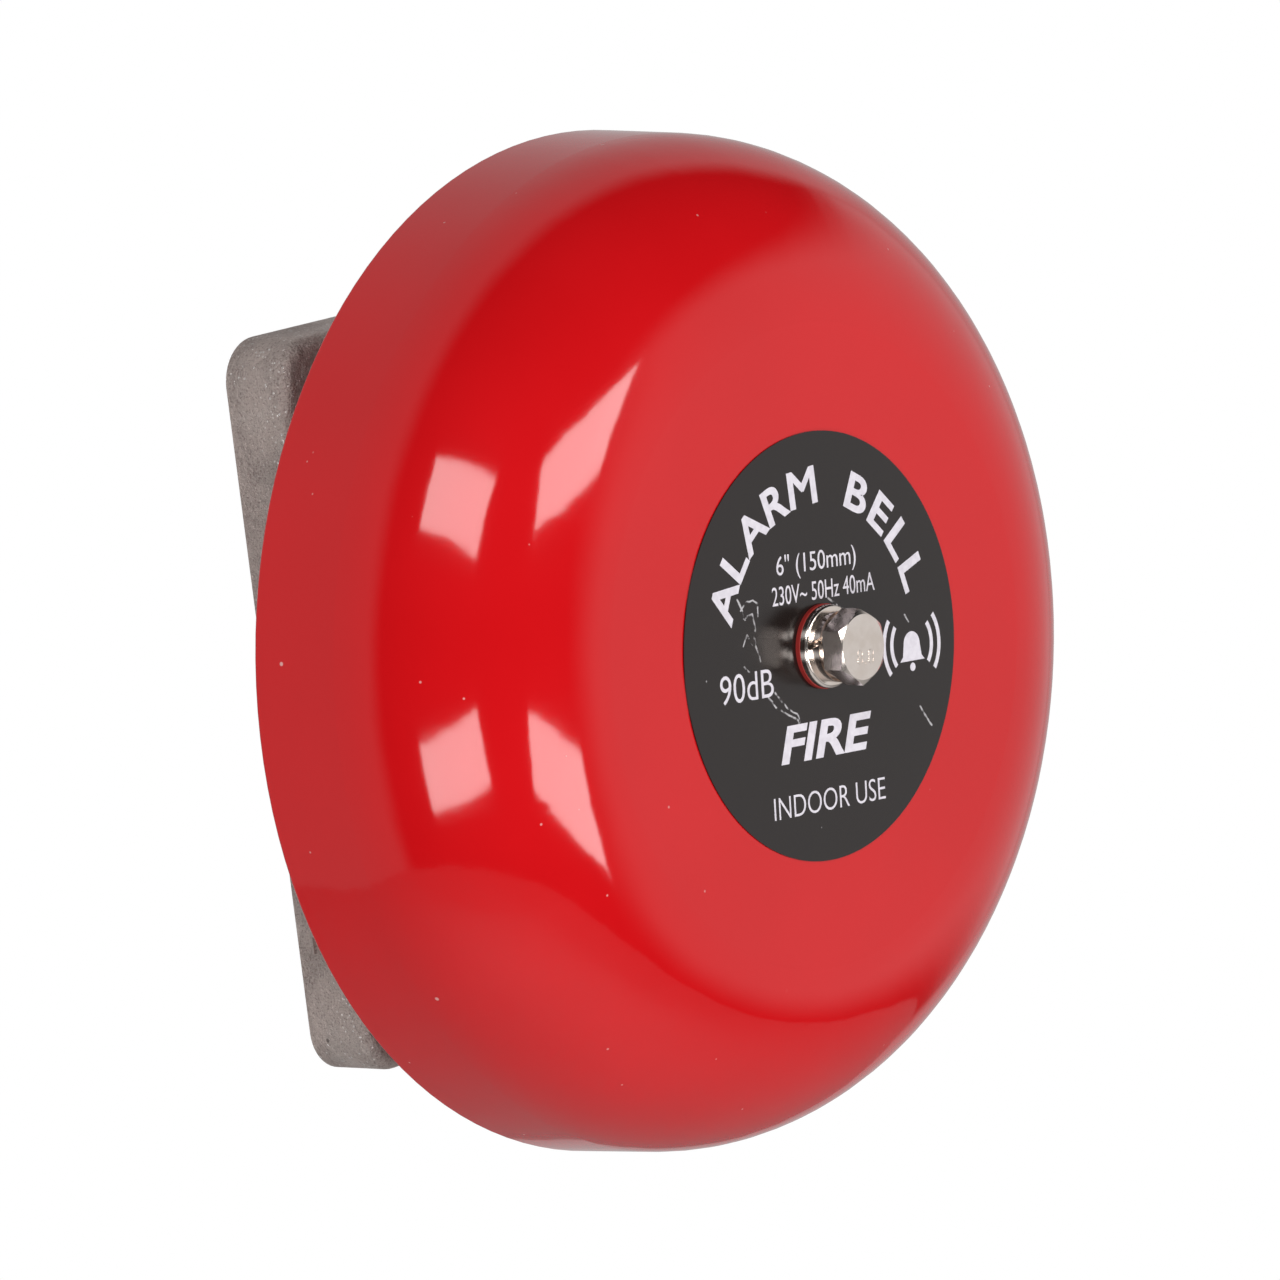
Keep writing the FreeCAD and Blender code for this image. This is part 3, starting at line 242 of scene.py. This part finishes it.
def cast_metal(nodes, at):
    """As-cast aluminium: a grain with a painted highlight on its crests and painted shade in its hollows,
    glossier sparkle cells with painted glints, pores and rubbed patches.
    """
    grain = nodes.noise(at, 3000, 3, 0.7)
    beads = nodes.noise(at, 900, 2)
    skin = nodes.noise(at, 120, 4, 0.6)
    rubbed = nodes.rise(nodes.noise(at, 55, 4, 0.65), 0.50, 0.66)
    distance, tint = nodes.cells(at, 1900)
    # Sparkle cells: glossier, and their near-white colour is a painted glint.
    glitter_painted_glints = nodes.rise(distance, 0.40, 0.16) * nodes.rise(nodes.parts(tint)[0], 0.80, 0.84)
    # The grain's hollows: rougher, and darkened in the colour as painted shade.
    pits_painted_shade = nodes.rise(grain, 0.46, 0.34)
    pore_distance, pore_tint = nodes.cells(at, 330)
    pores = nodes.rise(pore_distance, 0.13, 0.07) * nodes.rise(nodes.parts(pore_tint)[1], 0.955, 0.96)
    body = nodes.blend(nodes.rise(skin, 0.35, 0.65), colour(0.42, 0.345, 0.32), colour(0.57, 0.475, 0.44))
    # Painted highlight: the colour is paler on the grain's crests.
    body = nodes.blend(nodes.rise(grain, 0.40, 0.62) * 0.2, body, colour(0.80, 0.72, 0.68))
    body = nodes.blend(rubbed * 0.35, body, colour(0.70, 0.64, 0.60))
    # Painted shade: the colour darkens in the grain's hollows.
    body = nodes.blend(pits_painted_shade * 0.35, body, colour(0.12, 0.095, 0.088))
    # Painted glints: near-white colour on the sparkle cells.
    body = nodes.blend(glitter_painted_glints, body, colour(0.92, 0.88, 0.86))
    body = nodes.blend(pores * 0.7, body, colour(0.08, 0.06, 0.055))
    lumps = nodes.bump(skin, 0.0005, 0.55)
    return {
        "Base Color": body,
        "Metallic": 0.9,
        "Roughness": 0.50 + skin * 0.12 - glitter_painted_glints * 0.30 - rubbed * 0.08 + pits_painted_shade * 0.15,
        "Normal": nodes.bump(grain + beads * 1.2 - pores * 0.6, 0.00032, 0.9, lumps),
    }


def nickel(nodes, at):
    """Bright nickel over turned and forged steel."""
    draw = nodes.noise(nodes.stretched(at, 1, 9, 1), 700, 2)
    cloud = nodes.noise(at, 260, 3)
    dull = nodes.rise(cloud, 0.35, 0.7)
    return {
        "Base Color": nodes.blend(dull, colour(0.92, 0.83, 0.77), colour(0.84, 0.74, 0.67)),
        "Metallic": 1.0,
        "Roughness": 0.15 + cloud * 0.09,
        "Normal": nodes.bump(draw + cloud * 2, 0.000008),
    }


def zinc(nodes, at):
    """Zinc plate, clear passivated: pale, with faint blue and yellow clouds."""
    cloud = nodes.noise(at, 150, 3)
    grain = nodes.noise(at, 1500, 2)
    yellowed = nodes.rise(cloud, 0.35, 0.65)
    return {
        "Base Color": nodes.blend(yellowed, colour(0.60, 0.63, 0.66), colour(0.68, 0.65, 0.55)),
        "Metallic": 1.0,
        "Roughness": 0.26 + cloud * 0.2,
        "Normal": nodes.bump(grain, 0.00002),
    }


def fibre(nodes, at):
    """Vulcanised fibre: dull red with a fine paper grain."""
    paper = nodes.noise(nodes.stretched(at, 1, 4, 1), 900, 4, 0.7)
    return {
        "Base Color": nodes.blend(paper, colour(0.24, 0.008, 0.006), colour(0.38, 0.018, 0.013)),
        "Roughness": 0.55 + paper * 0.2,
        "Normal": nodes.bump(paper, 0.00004),
    }


def brass(nodes, at):
    """Turned brass, a little tarnished."""
    cloud = nodes.noise(at, 220, 4, 0.6)
    lines = nodes.noise(nodes.stretched(at, 12, 1, 1), 500, 2)
    tarnish = nodes.rise(cloud, 0.4, 0.75)
    return {
        "Base Color": nodes.blend(tarnish, colour(0.80, 0.60, 0.28), colour(0.50, 0.34, 0.14)),
        "Metallic": 1.0,
        "Roughness": 0.22 + cloud * 0.2,
        "Normal": nodes.bump(lines, 0.00002),
    }


def moulded(pale, deep, roughness):
    """A moulded plastic in two near tones with a light spark texture."""
    def paint(nodes, at):
        cloud = nodes.noise(at, 90, 2)
        spark = nodes.noise(at, 2200, 2)
        return {
            "Base Color": nodes.blend(nodes.rise(cloud, 0.3, 0.7), colour(*pale), colour(*deep)),
            "Roughness": roughness + spark * 0.12,
            "Normal": nodes.bump(spark, 0.00002),
        }
    return paint


def nylon(pale, deep, roughness):
    """A translucent natural nylon."""
    plain = moulded(pale, deep, roughness)

    def paint(nodes, at):
        sockets = plain(nodes, at)
        sockets["Subsurface Weight"] = 0.15
        sockets["Subsurface Radius"] = (0.9, 0.8, 0.6)
        sockets["Subsurface Scale"] = 0.0012
        return sockets
    return paint


WIRE_RADIUS = 0.33 * MM       # of the winding


def copper(nodes, at):
    """Enamelled copper wire: each turn a shade different from the next."""
    turns = nodes.noise(nodes.stretched(at, 1, 0.02, 0.02), 1400, 1)
    bright = nodes.rise(turns, 0.3, 0.7)
    return {
        "Base Color": nodes.blend(bright, colour(0.55, 0.17, 0.055), colour(0.72, 0.29, 0.11)),
        "Metallic": 0.85,
        "Roughness": 0.2 + turns * 0.15,
        "Coat Weight": 0.6,
    }


def tape(nodes, at):
    """Yellow polyester tape with the wire showing through as faint ridges."""
    across = nodes.parts(at)[0]
    ridges = nodes.maths("SINE", across * (2 * math.pi / (2 * WIRE_RADIUS)))
    cloud = nodes.noise(at, 120, 3)
    return {
        "Base Color": nodes.blend(cloud, colour(0.66, 0.42, 0.035), colour(0.84, 0.60, 0.08)),
        "Roughness": 0.2 + cloud * 0.15,
        "Normal": nodes.bump(ridges + cloud * 2, 0.00003),
    }


def rubber(nodes, at):
    """Moulded rubber with a grey bloom."""
    bloom = nodes.rise(nodes.noise(at, 200, 4, 0.6), 0.4, 0.8)
    return {
        "Base Color": nodes.blend(bloom, colour(0.012, 0.012, 0.013), colour(0.045, 0.043, 0.042)),
        "Roughness": 0.52 + bloom * 0.25,
        "Normal": nodes.bump(nodes.noise(at, 1800, 2), 0.00003),
    }


def drawn_steel(base, dark, roughness):
    """Bright steel with fine lines round its axis, which runs along X."""
    def paint(nodes, at):
        lines = nodes.noise(nodes.stretched(at, 14, 1, 1), 420, 3)
        cloud = nodes.noise(at, 130, 3)
        return {
            "Base Color": nodes.blend(nodes.rise(cloud, 0.4, 0.8), colour(*base), colour(*dark)),
            "Metallic": 1.0,
            "Roughness": roughness + cloud * 0.14,
            "Normal": nodes.bump(lines, 0.00003),
        }
    return paint


PAINTS = {
    "gong_enamel": enamel,
    "label_film": film,
    "label_ink": ink,
    "cast_aluminium": cast_metal,
    "nickel_plate": nickel,
    "zinc_plate": zinc,
    "red_fibre": fibre,
    "brass_screw": brass,
    "brass_tube": brass,
    "bobbin_nylon": nylon((0.74, 0.70, 0.58), (0.68, 0.63, 0.50), 0.38),
    "copper_winding": copper,
    "coil_tape_film": tape,
    "black_rubber": rubber,
    "spring_steel": drawn_steel((0.56, 0.56, 0.57), (0.40, 0.39, 0.38), 0.2),
    "bright_steel": drawn_steel((0.66, 0.66, 0.66), (0.50, 0.49, 0.47), 0.16),
    "tip_nylon": nylon((0.82, 0.81, 0.77), (0.76, 0.74, 0.68), 0.34),
    "block_nylon": nylon((0.80, 0.79, 0.74), (0.74, 0.72, 0.66), 0.32),
    "brown_insulation": moulded((0.15, 0.06, 0.025), (0.11, 0.045, 0.02), 0.36),
    "blue_insulation": moulded((0.02, 0.09, 0.36), (0.015, 0.07, 0.29), 0.36),
}
FINISHES = {name: finish(name, paint) for name, paint in PAINTS.items()}


def dress_nodes():
    """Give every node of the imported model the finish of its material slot."""
    for part in frame["record"]["subparts"]:
        mesh = NODES[part["node"]].data
        mesh.materials.clear()
        mesh.materials.append(FINISHES[part["material_slot"]])


# ---- modelling

def pick(pieces):
    """Select these pieces and nothing else, the first of them active."""
    bpy.ops.object.select_all(action="DESELECT")
    for piece in pieces:
        piece.select_set(True)
    bpy.context.view_layer.objects.active = pieces[0]


def start_edit(piece):
    pick([piece])
    bpy.ops.object.mode_set(mode="EDIT")
    bpy.ops.mesh.select_all(action="SELECT")


def end_edit():
    bpy.ops.object.mode_set(mode="OBJECT")


def settle(piece):
    """Put the piece's place into its mesh, so that its object sits at the origin."""
    pick([piece])
    bpy.ops.object.transform_apply(location=True, rotation=True, scale=True)


def apply_modifier(piece, kind, **settings):
    modifier = piece.modifiers.new(kind.title(), kind)
    for name, setting in settings.items():
        setattr(modifier, name, setting)
    pick([piece])
    bpy.ops.object.modifier_apply(modifier=modifier.name)


def merge(name, pieces):
    """Several pieces as one."""
    pick(pieces)
    bpy.ops.object.join()
    pieces[0].name = name
    pieces[0].data.name = name
    return pieces[0]


def hand_over(piece, body, slot, look=None):
    """Finish a piece: its material, named by its slot or by the look given, and its body."""
    piece.data.materials.clear()
    piece.data.materials.append(FINISHES[look or slot])
    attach(piece, body)
    return piece


# ---- lettering on the disc

LABEL_FRONT = -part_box("label_disc")[0].y
PRINT_TURN = math.radians(-5.4)      # the disc sits a little clockwise, seen from the front
PRINT_THICKNESS = 0.016 * MM
PRINT_MIDDLE = LABEL_FRONT + PRINT_THICKNESS / 2
ARCH_HEAVY = 0.024                   # how far the arched letters' outlines are pushed out, at text size 1
M_SHIFT = 0.17                       # how far each copy of the M is moved sideways, in millimetres


def on_front(across, up, out, turn):
    """Where a flat piece drawn in XY goes: turned, stood up to face the front, moved to X, Z and out."""
    facing = Matrix.Rotation(math.pi / 2, 4, "X")
    spin = Matrix.Rotation(turn, 4, "Z")
    return Matrix.Translation((across, -out, up)) @ facing @ spin


def on_disc(across, up):
    """The place of a print that is drawn in XY, from millimetres in the disc's own turned frame."""
    spot = Matrix.Rotation(PRINT_TURN, 2) @ Vector((across * MM, up * MM))
    return on_front(spot.x, spot.y, PRINT_MIDDLE, PRINT_TURN)


def lettering(text, width, height, heavy=0.0, slant=0.0, stretch=1.0):
    """Flat letters drawn in XY round the origin, and their width. With no width given, stretch sets it."""
    bpy.ops.object.select_all(action="DESELECT")
    bpy.ops.object.text_add()
    words = bpy.context.object
    words.data.body = text
    words.data.offset = heavy
    words.data.shear = slant
    words.data.resolution_u = 5
    words.data.extrude = 0.5     # any depth: it is scaled to the thickness of the print below
    bpy.ops.object.convert(target="MESH")
    words = bpy.context.object
    start_edit(words)
    bpy.ops.mesh.remove_doubles(threshold=0.00001)
    bpy.ops.mesh.normals_make_consistent(inside=False)
    end_edit()
    corners = [vertex.co for vertex in words.data.vertices]
    low = Vector(min(corner[axis] for corner in corners) for axis in range(3))
    high = Vector(max(corner[axis] for corner in corners) for axis in range(3))
    span = high - low
    scale_x = width / span.x if width else stretch * height / span.y
    scale = Matrix.Diagonal((scale_x, height / span.y, PRINT_THICKNESS / span.z, 1.0))
    words.data.transform(scale @ Matrix.Translation(-(low + high) / 2))
    return words, span.x * scale_x


def print_line(text, across, up, width, height, heavy=0.0, slant=0.0):
    """A straight line of print, its middle at X and Z in the disc's own turned frame, in millimetres."""
    words, _ = lettering(text, width * MM, height * MM, heavy, slant)
    words.matrix_world = on_disc(across, up)
    settle(words)
    return words


def print_arch(text, start, baseline, height, gap, stretch):
    """Bold letters on an arc, clockwise from a start angle in degrees. Millimetres.

    A heavier M would close over its own middle, so it is two plain ones, a little apart.
    One of the two stands a little prouder, so that their faces don't lie in one plane.
    """
    letters = []
    angle = math.radians(start)
    radius = baseline * MM
    middle = (baseline + height / 2) * MM
    for letter in text:
        heavy, shifts = (0.0, (-M_SHIFT, M_SHIFT)) if letter == "M" else (ARCH_HEAVY, (0.0,))
        copies = [lettering(letter, None, height * MM, heavy, stretch=stretch) for _ in shifts]
        width = copies[0][1] + (shifts[-1] - shifts[0]) * MM
        angle -= width / 2 / radius
        across, up = middle * math.cos(angle), middle * math.sin(angle)
        place = on_front(across, up, PRINT_MIDDLE, angle - math.pi / 2)
        for lift, ((words, _), shift) in enumerate(zip(copies, shifts)):
            words.matrix_world = place @ Matrix.Translation((shift * MM, 0, lift * PRINT_THICKNESS / 2))
            settle(words)
            letters.append(words)
        angle -= width / 2 / radius + gap * MM / radius
    return letters


DOME_RADIUS = 1.9 * MM
SKIRT = (1.7 * MM, 1.15)             # how far down the bell's side reaches, and how much wider it ends
LIP = (0.7 * MM, 1.32)
CLAPPER_RADIUS = 0.62 * MM
CLAPPER_DOWN = 3.3 * MM
WAVE_RADII = (4.3 * MM, 6.1 * MM)
WAVE_LINE = 0.75 * MM
WAVE_HALF_ANGLE = math.radians(38)


def sign_bell():
    """The bell of the sign: half a disc whose straight edge is drawn down and out, twice."""
    bpy.ops.object.select_all(action="DESELECT")
    bpy.ops.mesh.primitive_circle_add(vertices=40, radius=DOME_RADIUS, fill_type="NGON")
    dome = bpy.context.object
    start_edit(dome)
    bpy.ops.mesh.bisect(plane_co=(0, 0, 0), plane_no=(0, 1, 0), clear_inner=True, use_fill=False)
    bpy.ops.mesh.select_all(action="DESELECT")
    end_edit()
    for edge in dome.data.edges:
        ends = [dome.data.vertices[index].co for index in edge.vertices]
        edge.select = all(abs(corner.y) < 0.01 * MM for corner in ends)
    bpy.ops.object.mode_set(mode="EDIT")
    bpy.ops.mesh.select_mode(type="EDGE")
    for down, wider in (SKIRT, LIP):
        bpy.ops.mesh.extrude_region_move(TRANSFORM_OT_translate={"value": (0, -down, 0)})
        bpy.ops.transform.resize(value=(wider, 1, 1))
    bpy.ops.mesh.select_mode(type="VERT")
    end_edit()
    return dome


def sign_clapper():
    bpy.ops.object.select_all(action="DESELECT")
    bpy.ops.mesh.primitive_circle_add(vertices=24, radius=CLAPPER_RADIUS, fill_type="NGON",
                                      location=(0, -CLAPPER_DOWN, 0))
    return bpy.context.object


def sign_wave(radius, side):
    """A sound wave on one side of the bell: a ring, cut off above and below."""
    bpy.ops.object.select_all(action="DESELECT")
    bpy.ops.mesh.primitive_circle_add(vertices=96, radius=radius)
    wave = bpy.context.object
    start_edit(wave)
    bpy.ops.mesh.extrude_region_move()
    bpy.ops.transform.resize(value=((radius + WAVE_LINE) / radius,) * 3)
    for end in (1, -1):
        normal = (-math.sin(WAVE_HALF_ANGLE) * side, end * math.cos(WAVE_HALF_ANGLE), 0)
        bpy.ops.mesh.select_all(action="SELECT")
        bpy.ops.mesh.bisect(plane_co=(0, 0, 0), plane_no=normal, clear_outer=True)
    end_edit()
    return wave


def sound_sign():
    """A small bell with two sound waves on each side, printed beside the bolt."""
    shapes = [sign_bell(), sign_clapper()]
    shapes += [sign_wave(radius, side) for radius in WAVE_RADII for side in (1, -1)]
    sign = merge("label_sound_sign", shapes)
    apply_modifier(sign, "SOLIDIFY", thickness=PRINT_THICKNESS, offset=0.0)
    start_edit(sign)
    bpy.ops.mesh.remove_doubles(threshold=1e-7)
    bpy.ops.mesh.normals_make_consistent(inside=False)
    end_edit()
    return sign


def label_print():
    """White print on the disc: words on an arc and facts below them, a title and a sign."""
    words = print_arch("ALARM", 161.5, 20.4, 5.4, -0.05, 1.18)
    words += print_arch("BELL", 66.5, 20.4, 5.4, 0.75, 1.3)
    hand_over(merge("label_words", words), "bell", "label_film", "label_ink")
    facts = [
        print_line('6" (150mm)', -0.4, 12.0, 18.1, 3.7),
        print_line("230V~ 50Hz 40mA", 0.95, 8.1, 23.4, 2.7),
        print_line("90dB", -17.4, -3.9, 11.8, 4.1, heavy=-0.004),
        print_line("INDOOR USE", -0.1, -22.0, 25.5, 3.2, heavy=-0.008),
    ]
    hand_over(merge("label_facts", facts), "bell", "label_film", "label_ink")
    title = print_line("FIRE", -0.2, -13.2, 21.0, 5.4, heavy=0.03, slant=0.22)
    title.name = "label_title"
    hand_over(title, "bell", "label_film", "label_ink")
    sign = sound_sign()
    sign.matrix_world = on_disc(20.6, -2.0)
    settle(sign)
    hand_over(sign, "bell", "label_film", "label_ink")


def grade_mark():
    """The strength grade, raised on the bolt's head and half sunk in it."""
    head_front = -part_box("centre_bolt")[0].y
    thickness = 0.14 * MM
    mark, _ = lettering("8.8", 3.9 * MM, 2.1 * MM, heavy=-0.008)
    mark.data.transform(Matrix.Diagonal((1, 1, thickness / PRINT_THICKNESS, 1)))
    mark.matrix_world = on_front(0.4 * MM, -1.5 * MM, head_front, math.radians(-8))
    settle(mark)
    mark.name = "bolt_grade_mark"
    hand_over(mark, "base", "nickel_plate")


# ---- the return spring and the winding


def coil_length(x_start, pitch, turns, wire_radius, radius, axis_y):
    """Turns of round wire about an axis along X, from a circle of wire."""
    bpy.ops.object.select_all(action="DESELECT")
    bpy.ops.mesh.primitive_circle_add(vertices=12, radius=wire_radius, location=(x_start, axis_y, 0))
    coil = bpy.context.object
    start_edit(coil)
    bpy.ops.transform.translate(value=(0, radius, 0))
    end_edit()
    apply_modifier(coil, "SCREW", axis="X", angle=2 * math.pi, iterations=turns, screw_offset=pitch,
                   steps=36, render_steps=36, use_merge_vertices=False)
    settle(coil)
    return coil


def return_spring():
    """The striker's return spring: closed end turns and an open middle."""
    low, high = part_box("return_spring")
    wire_radius = 0.5 * MM
    radius = (high.z - low.z) / 2 - wire_radius
    axis_y = (low.y + high.y) / 2
    start = low.x + wire_radius
    end = high.x - wire_radius
    closed = 2 * wire_radius
    open_turns = 5
    pitch = (end - start - 2 * closed) / open_turns
    lengths = [
        coil_length(start, closed, 1, wire_radius, radius, axis_y),
        coil_length(start + closed, pitch, open_turns, wire_radius, radius, axis_y),
        coil_length(end - closed, closed, 1, wire_radius, radius, axis_y),
    ]
    spring = merge("return_spring_wire", lengths)
    start_edit(spring)
    bpy.ops.mesh.remove_doubles(threshold=1e-6)
    bpy.ops.mesh.select_all(action="SELECT")
    bpy.ops.mesh.fill_holes(sides=0)
    bpy.ops.mesh.select_all(action="SELECT")
    bpy.ops.mesh.normals_make_consistent(inside=False)
    end_edit()
    bpy.ops.object.shade_smooth()
    hand_over(spring, "base", "spring_steel")
    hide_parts("return_spring")
    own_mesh(spring)


def winding():
    """The outer layer of the winding, turn by turn, on a solid core."""
    low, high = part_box("coil_winding")
    outer = (high.z - low.z) / 2
    inner = 7.5 * MM
    middle_y = (low.y + high.y) / 2
    turns = int((high.x - low.x) / (2 * WIRE_RADIUS))
    bpy.ops.object.select_all(action="DESELECT")
    bpy.ops.mesh.primitive_torus_add(major_segments=72, minor_segments=8, major_radius=outer - WIRE_RADIUS,
                                     minor_radius=WIRE_RADIUS, location=(low.x + WIRE_RADIUS, middle_y, 0),
                                     rotation=(0, math.pi / 2, 0))
    wires = bpy.context.object
    settle(wires)
    apply_modifier(wires, "ARRAY", count=turns, use_relative_offset=False, use_constant_offset=True,
                   constant_offset_displace=(2 * WIRE_RADIUS, 0, 0))
    bpy.ops.object.select_all(action="DESELECT")
    bpy.ops.mesh.primitive_cylinder_add(vertices=72, radius=outer - WIRE_RADIUS, depth=high.x - low.x,
                                        end_fill_type="NOTHING", rotation=(0, math.pi / 2, 0),
                                        location=((low.x + high.x) / 2, middle_y, 0))
    core = bpy.context.object
    settle(core)
    apply_modifier(core, "SOLIDIFY", thickness=outer - WIRE_RADIUS - inner, offset=-1.0)
    coil = merge("coil_winding_wire", [wires, core])
    bpy.ops.object.shade_smooth_by_angle(angle=math.radians(40))
    hand_over(coil, "base", "copper_winding")
    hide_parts("coil_winding")


# ---- studio

def sight(azimuth, elevation):
    """The way back from the bell to a lens or a light, and its level right and up. Angles in radians."""
    back = Vector((math.sin(azimuth) * math.cos(elevation), -math.cos(azimuth) * math.cos(elevation),
                   math.sin(elevation)))
    level_right = Vector((math.cos(azimuth), math.sin(azimuth), 0))
    return back, level_right, back.cross(level_right)


def camera():
    """The camera looks at the bell from the left and a little above, with a slight roll."""
    azimuth, elevation, roll = (math.radians(angle) for angle in (-48.944, 9.512, 6.834))
    distance = 0.92342
    target = Vector((-0.00726, -0.0312, 0.00186))
    back, level_right, level_up = sight(azimuth, elevation)
    up = level_up * math.cos(roll) + level_right * math.sin(roll)
    right = level_right * math.cos(roll) - level_up * math.sin(roll)
    lens = bpy.data.cameras.new("camera")
    lens.sensor_width = 36
    lens.lens = 179.22
    lens.clip_start = 0.05
    lens.clip_end = 50
    eye = bpy.data.objects.new("camera", lens)
    turn = Matrix((right, up, back)).transposed().to_4x4()
    eye.matrix_world = Matrix.Translation(target + back * distance) @ turn
    bpy.context.scene.collection.objects.link(eye)
    bpy.context.scene.camera = eye


# Each softbox: azimuth, elevation and roll in degrees, then width and height in metres.
SOFTBOXES = {
    "upper_left": (-52.9, 35.7, -21.3, 0.78, 0.342),
    "upper_right": (9.0, 18.2, -15.0, 0.72, 0.27),
    "lower_left": (-56.4, -13.6, 8.5, 0.786, 0.326),
    "lower_right": (1.4, -15.5, -10.0, 0.70, 0.26),
}
SOFTBOX_DISTANCE = 1.3
SOFTBOX_RADIANCE = 8.0


def softboxes():
    for name, (azimuth, elevation, roll, width, height) in SOFTBOXES.items():
        azimuth, elevation, roll = (math.radians(angle) for angle in (azimuth, elevation, roll))
        back, level_right, level_up = sight(azimuth, elevation)
        across = level_right * math.cos(roll) + level_up * math.sin(roll)
        along = level_up * math.cos(roll) - level_right * math.sin(roll)
        light = bpy.data.lights.new("softbox_" + name, "AREA")
        light.shape = "RECTANGLE"
        light.size = width
        light.size_y = height
        light.energy = math.pi * width * height * SOFTBOX_RADIANCE
        box = bpy.data.objects.new("softbox_" + name, light)
        turn = Matrix((across, along, back)).transposed().to_4x4()
        box.matrix_world = Matrix.Translation(back * SOFTBOX_DISTANCE) @ turn
        box.visible_camera = False
        bpy.context.scene.collection.objects.link(box)


PANEL_BRIGHTNESS = 0.64
SURROUND_BRIGHTNESS = 0.48
DARKNESS = 0.008


def room():
    """A pale surround behind the bell, a pale panel at its right, and near darkness elsewhere.

    The panel's edges are in degrees, each from where it starts to fade to where it ends.
    The camera itself sees plain white.
    """
    world = bpy.data.worlds.new("studio")
    bpy.context.scene.world = world
    world.use_nodes = True
    nodes = Nodes(world.node_tree)
    direction = nodes.add("TexCoord", output=0)
    across, along, up = nodes.parts(direction)
    azimuth = nodes.maths("ARCTAN2", across, 0 - along) * (180 / math.pi)
    elevation = nodes.maths("ARCSINE", up) * (180 / math.pi)
    panel = nodes.rise(azimuth, 14, 40) * nodes.rise(azimuth, 112, 98)
    panel = panel * nodes.rise(elevation, -34, -20) * nodes.rise(elevation, 27, 13)
    behind = nodes.rise(along, 0.05, 0.25)
    brightness = nodes.maths("MAXIMUM", panel * PANEL_BRIGHTNESS, behind * SURROUND_BRIGHTNESS) + DARKNESS
    seen = nodes.add("LightPath", output=0)
    strength = seen + (1 - seen) * brightness
    light = nodes.add("Background", None, {"Color": (1, 1, 1, 1), "Strength": strength})
    nodes.add("OutputWorld", None, {"Surface": light})


def floor():
    """A plain pale floor, well below the bell."""
    bpy.ops.object.select_all(action="DESELECT")
    bpy.ops.mesh.primitive_circle_add(vertices=96, radius=1.5, fill_type="NGON", location=(0, 0, -1.0))
    disc = bpy.context.object
    disc.name = "floor"

    def paint(nodes, at):
        return {"Base Color": colour(0.80, 0.80, 0.80), "Roughness": 0.6 + nodes.noise(at, 30, 2) * 0.1}

    disc.data.materials.append(finish("floor_paint", paint))


bpy.context.scene.view_settings.view_transform = "Standard"
dress_nodes()
label_print()
grade_mark()
return_spring()
winding()
camera()
softboxes()
room()
floor()
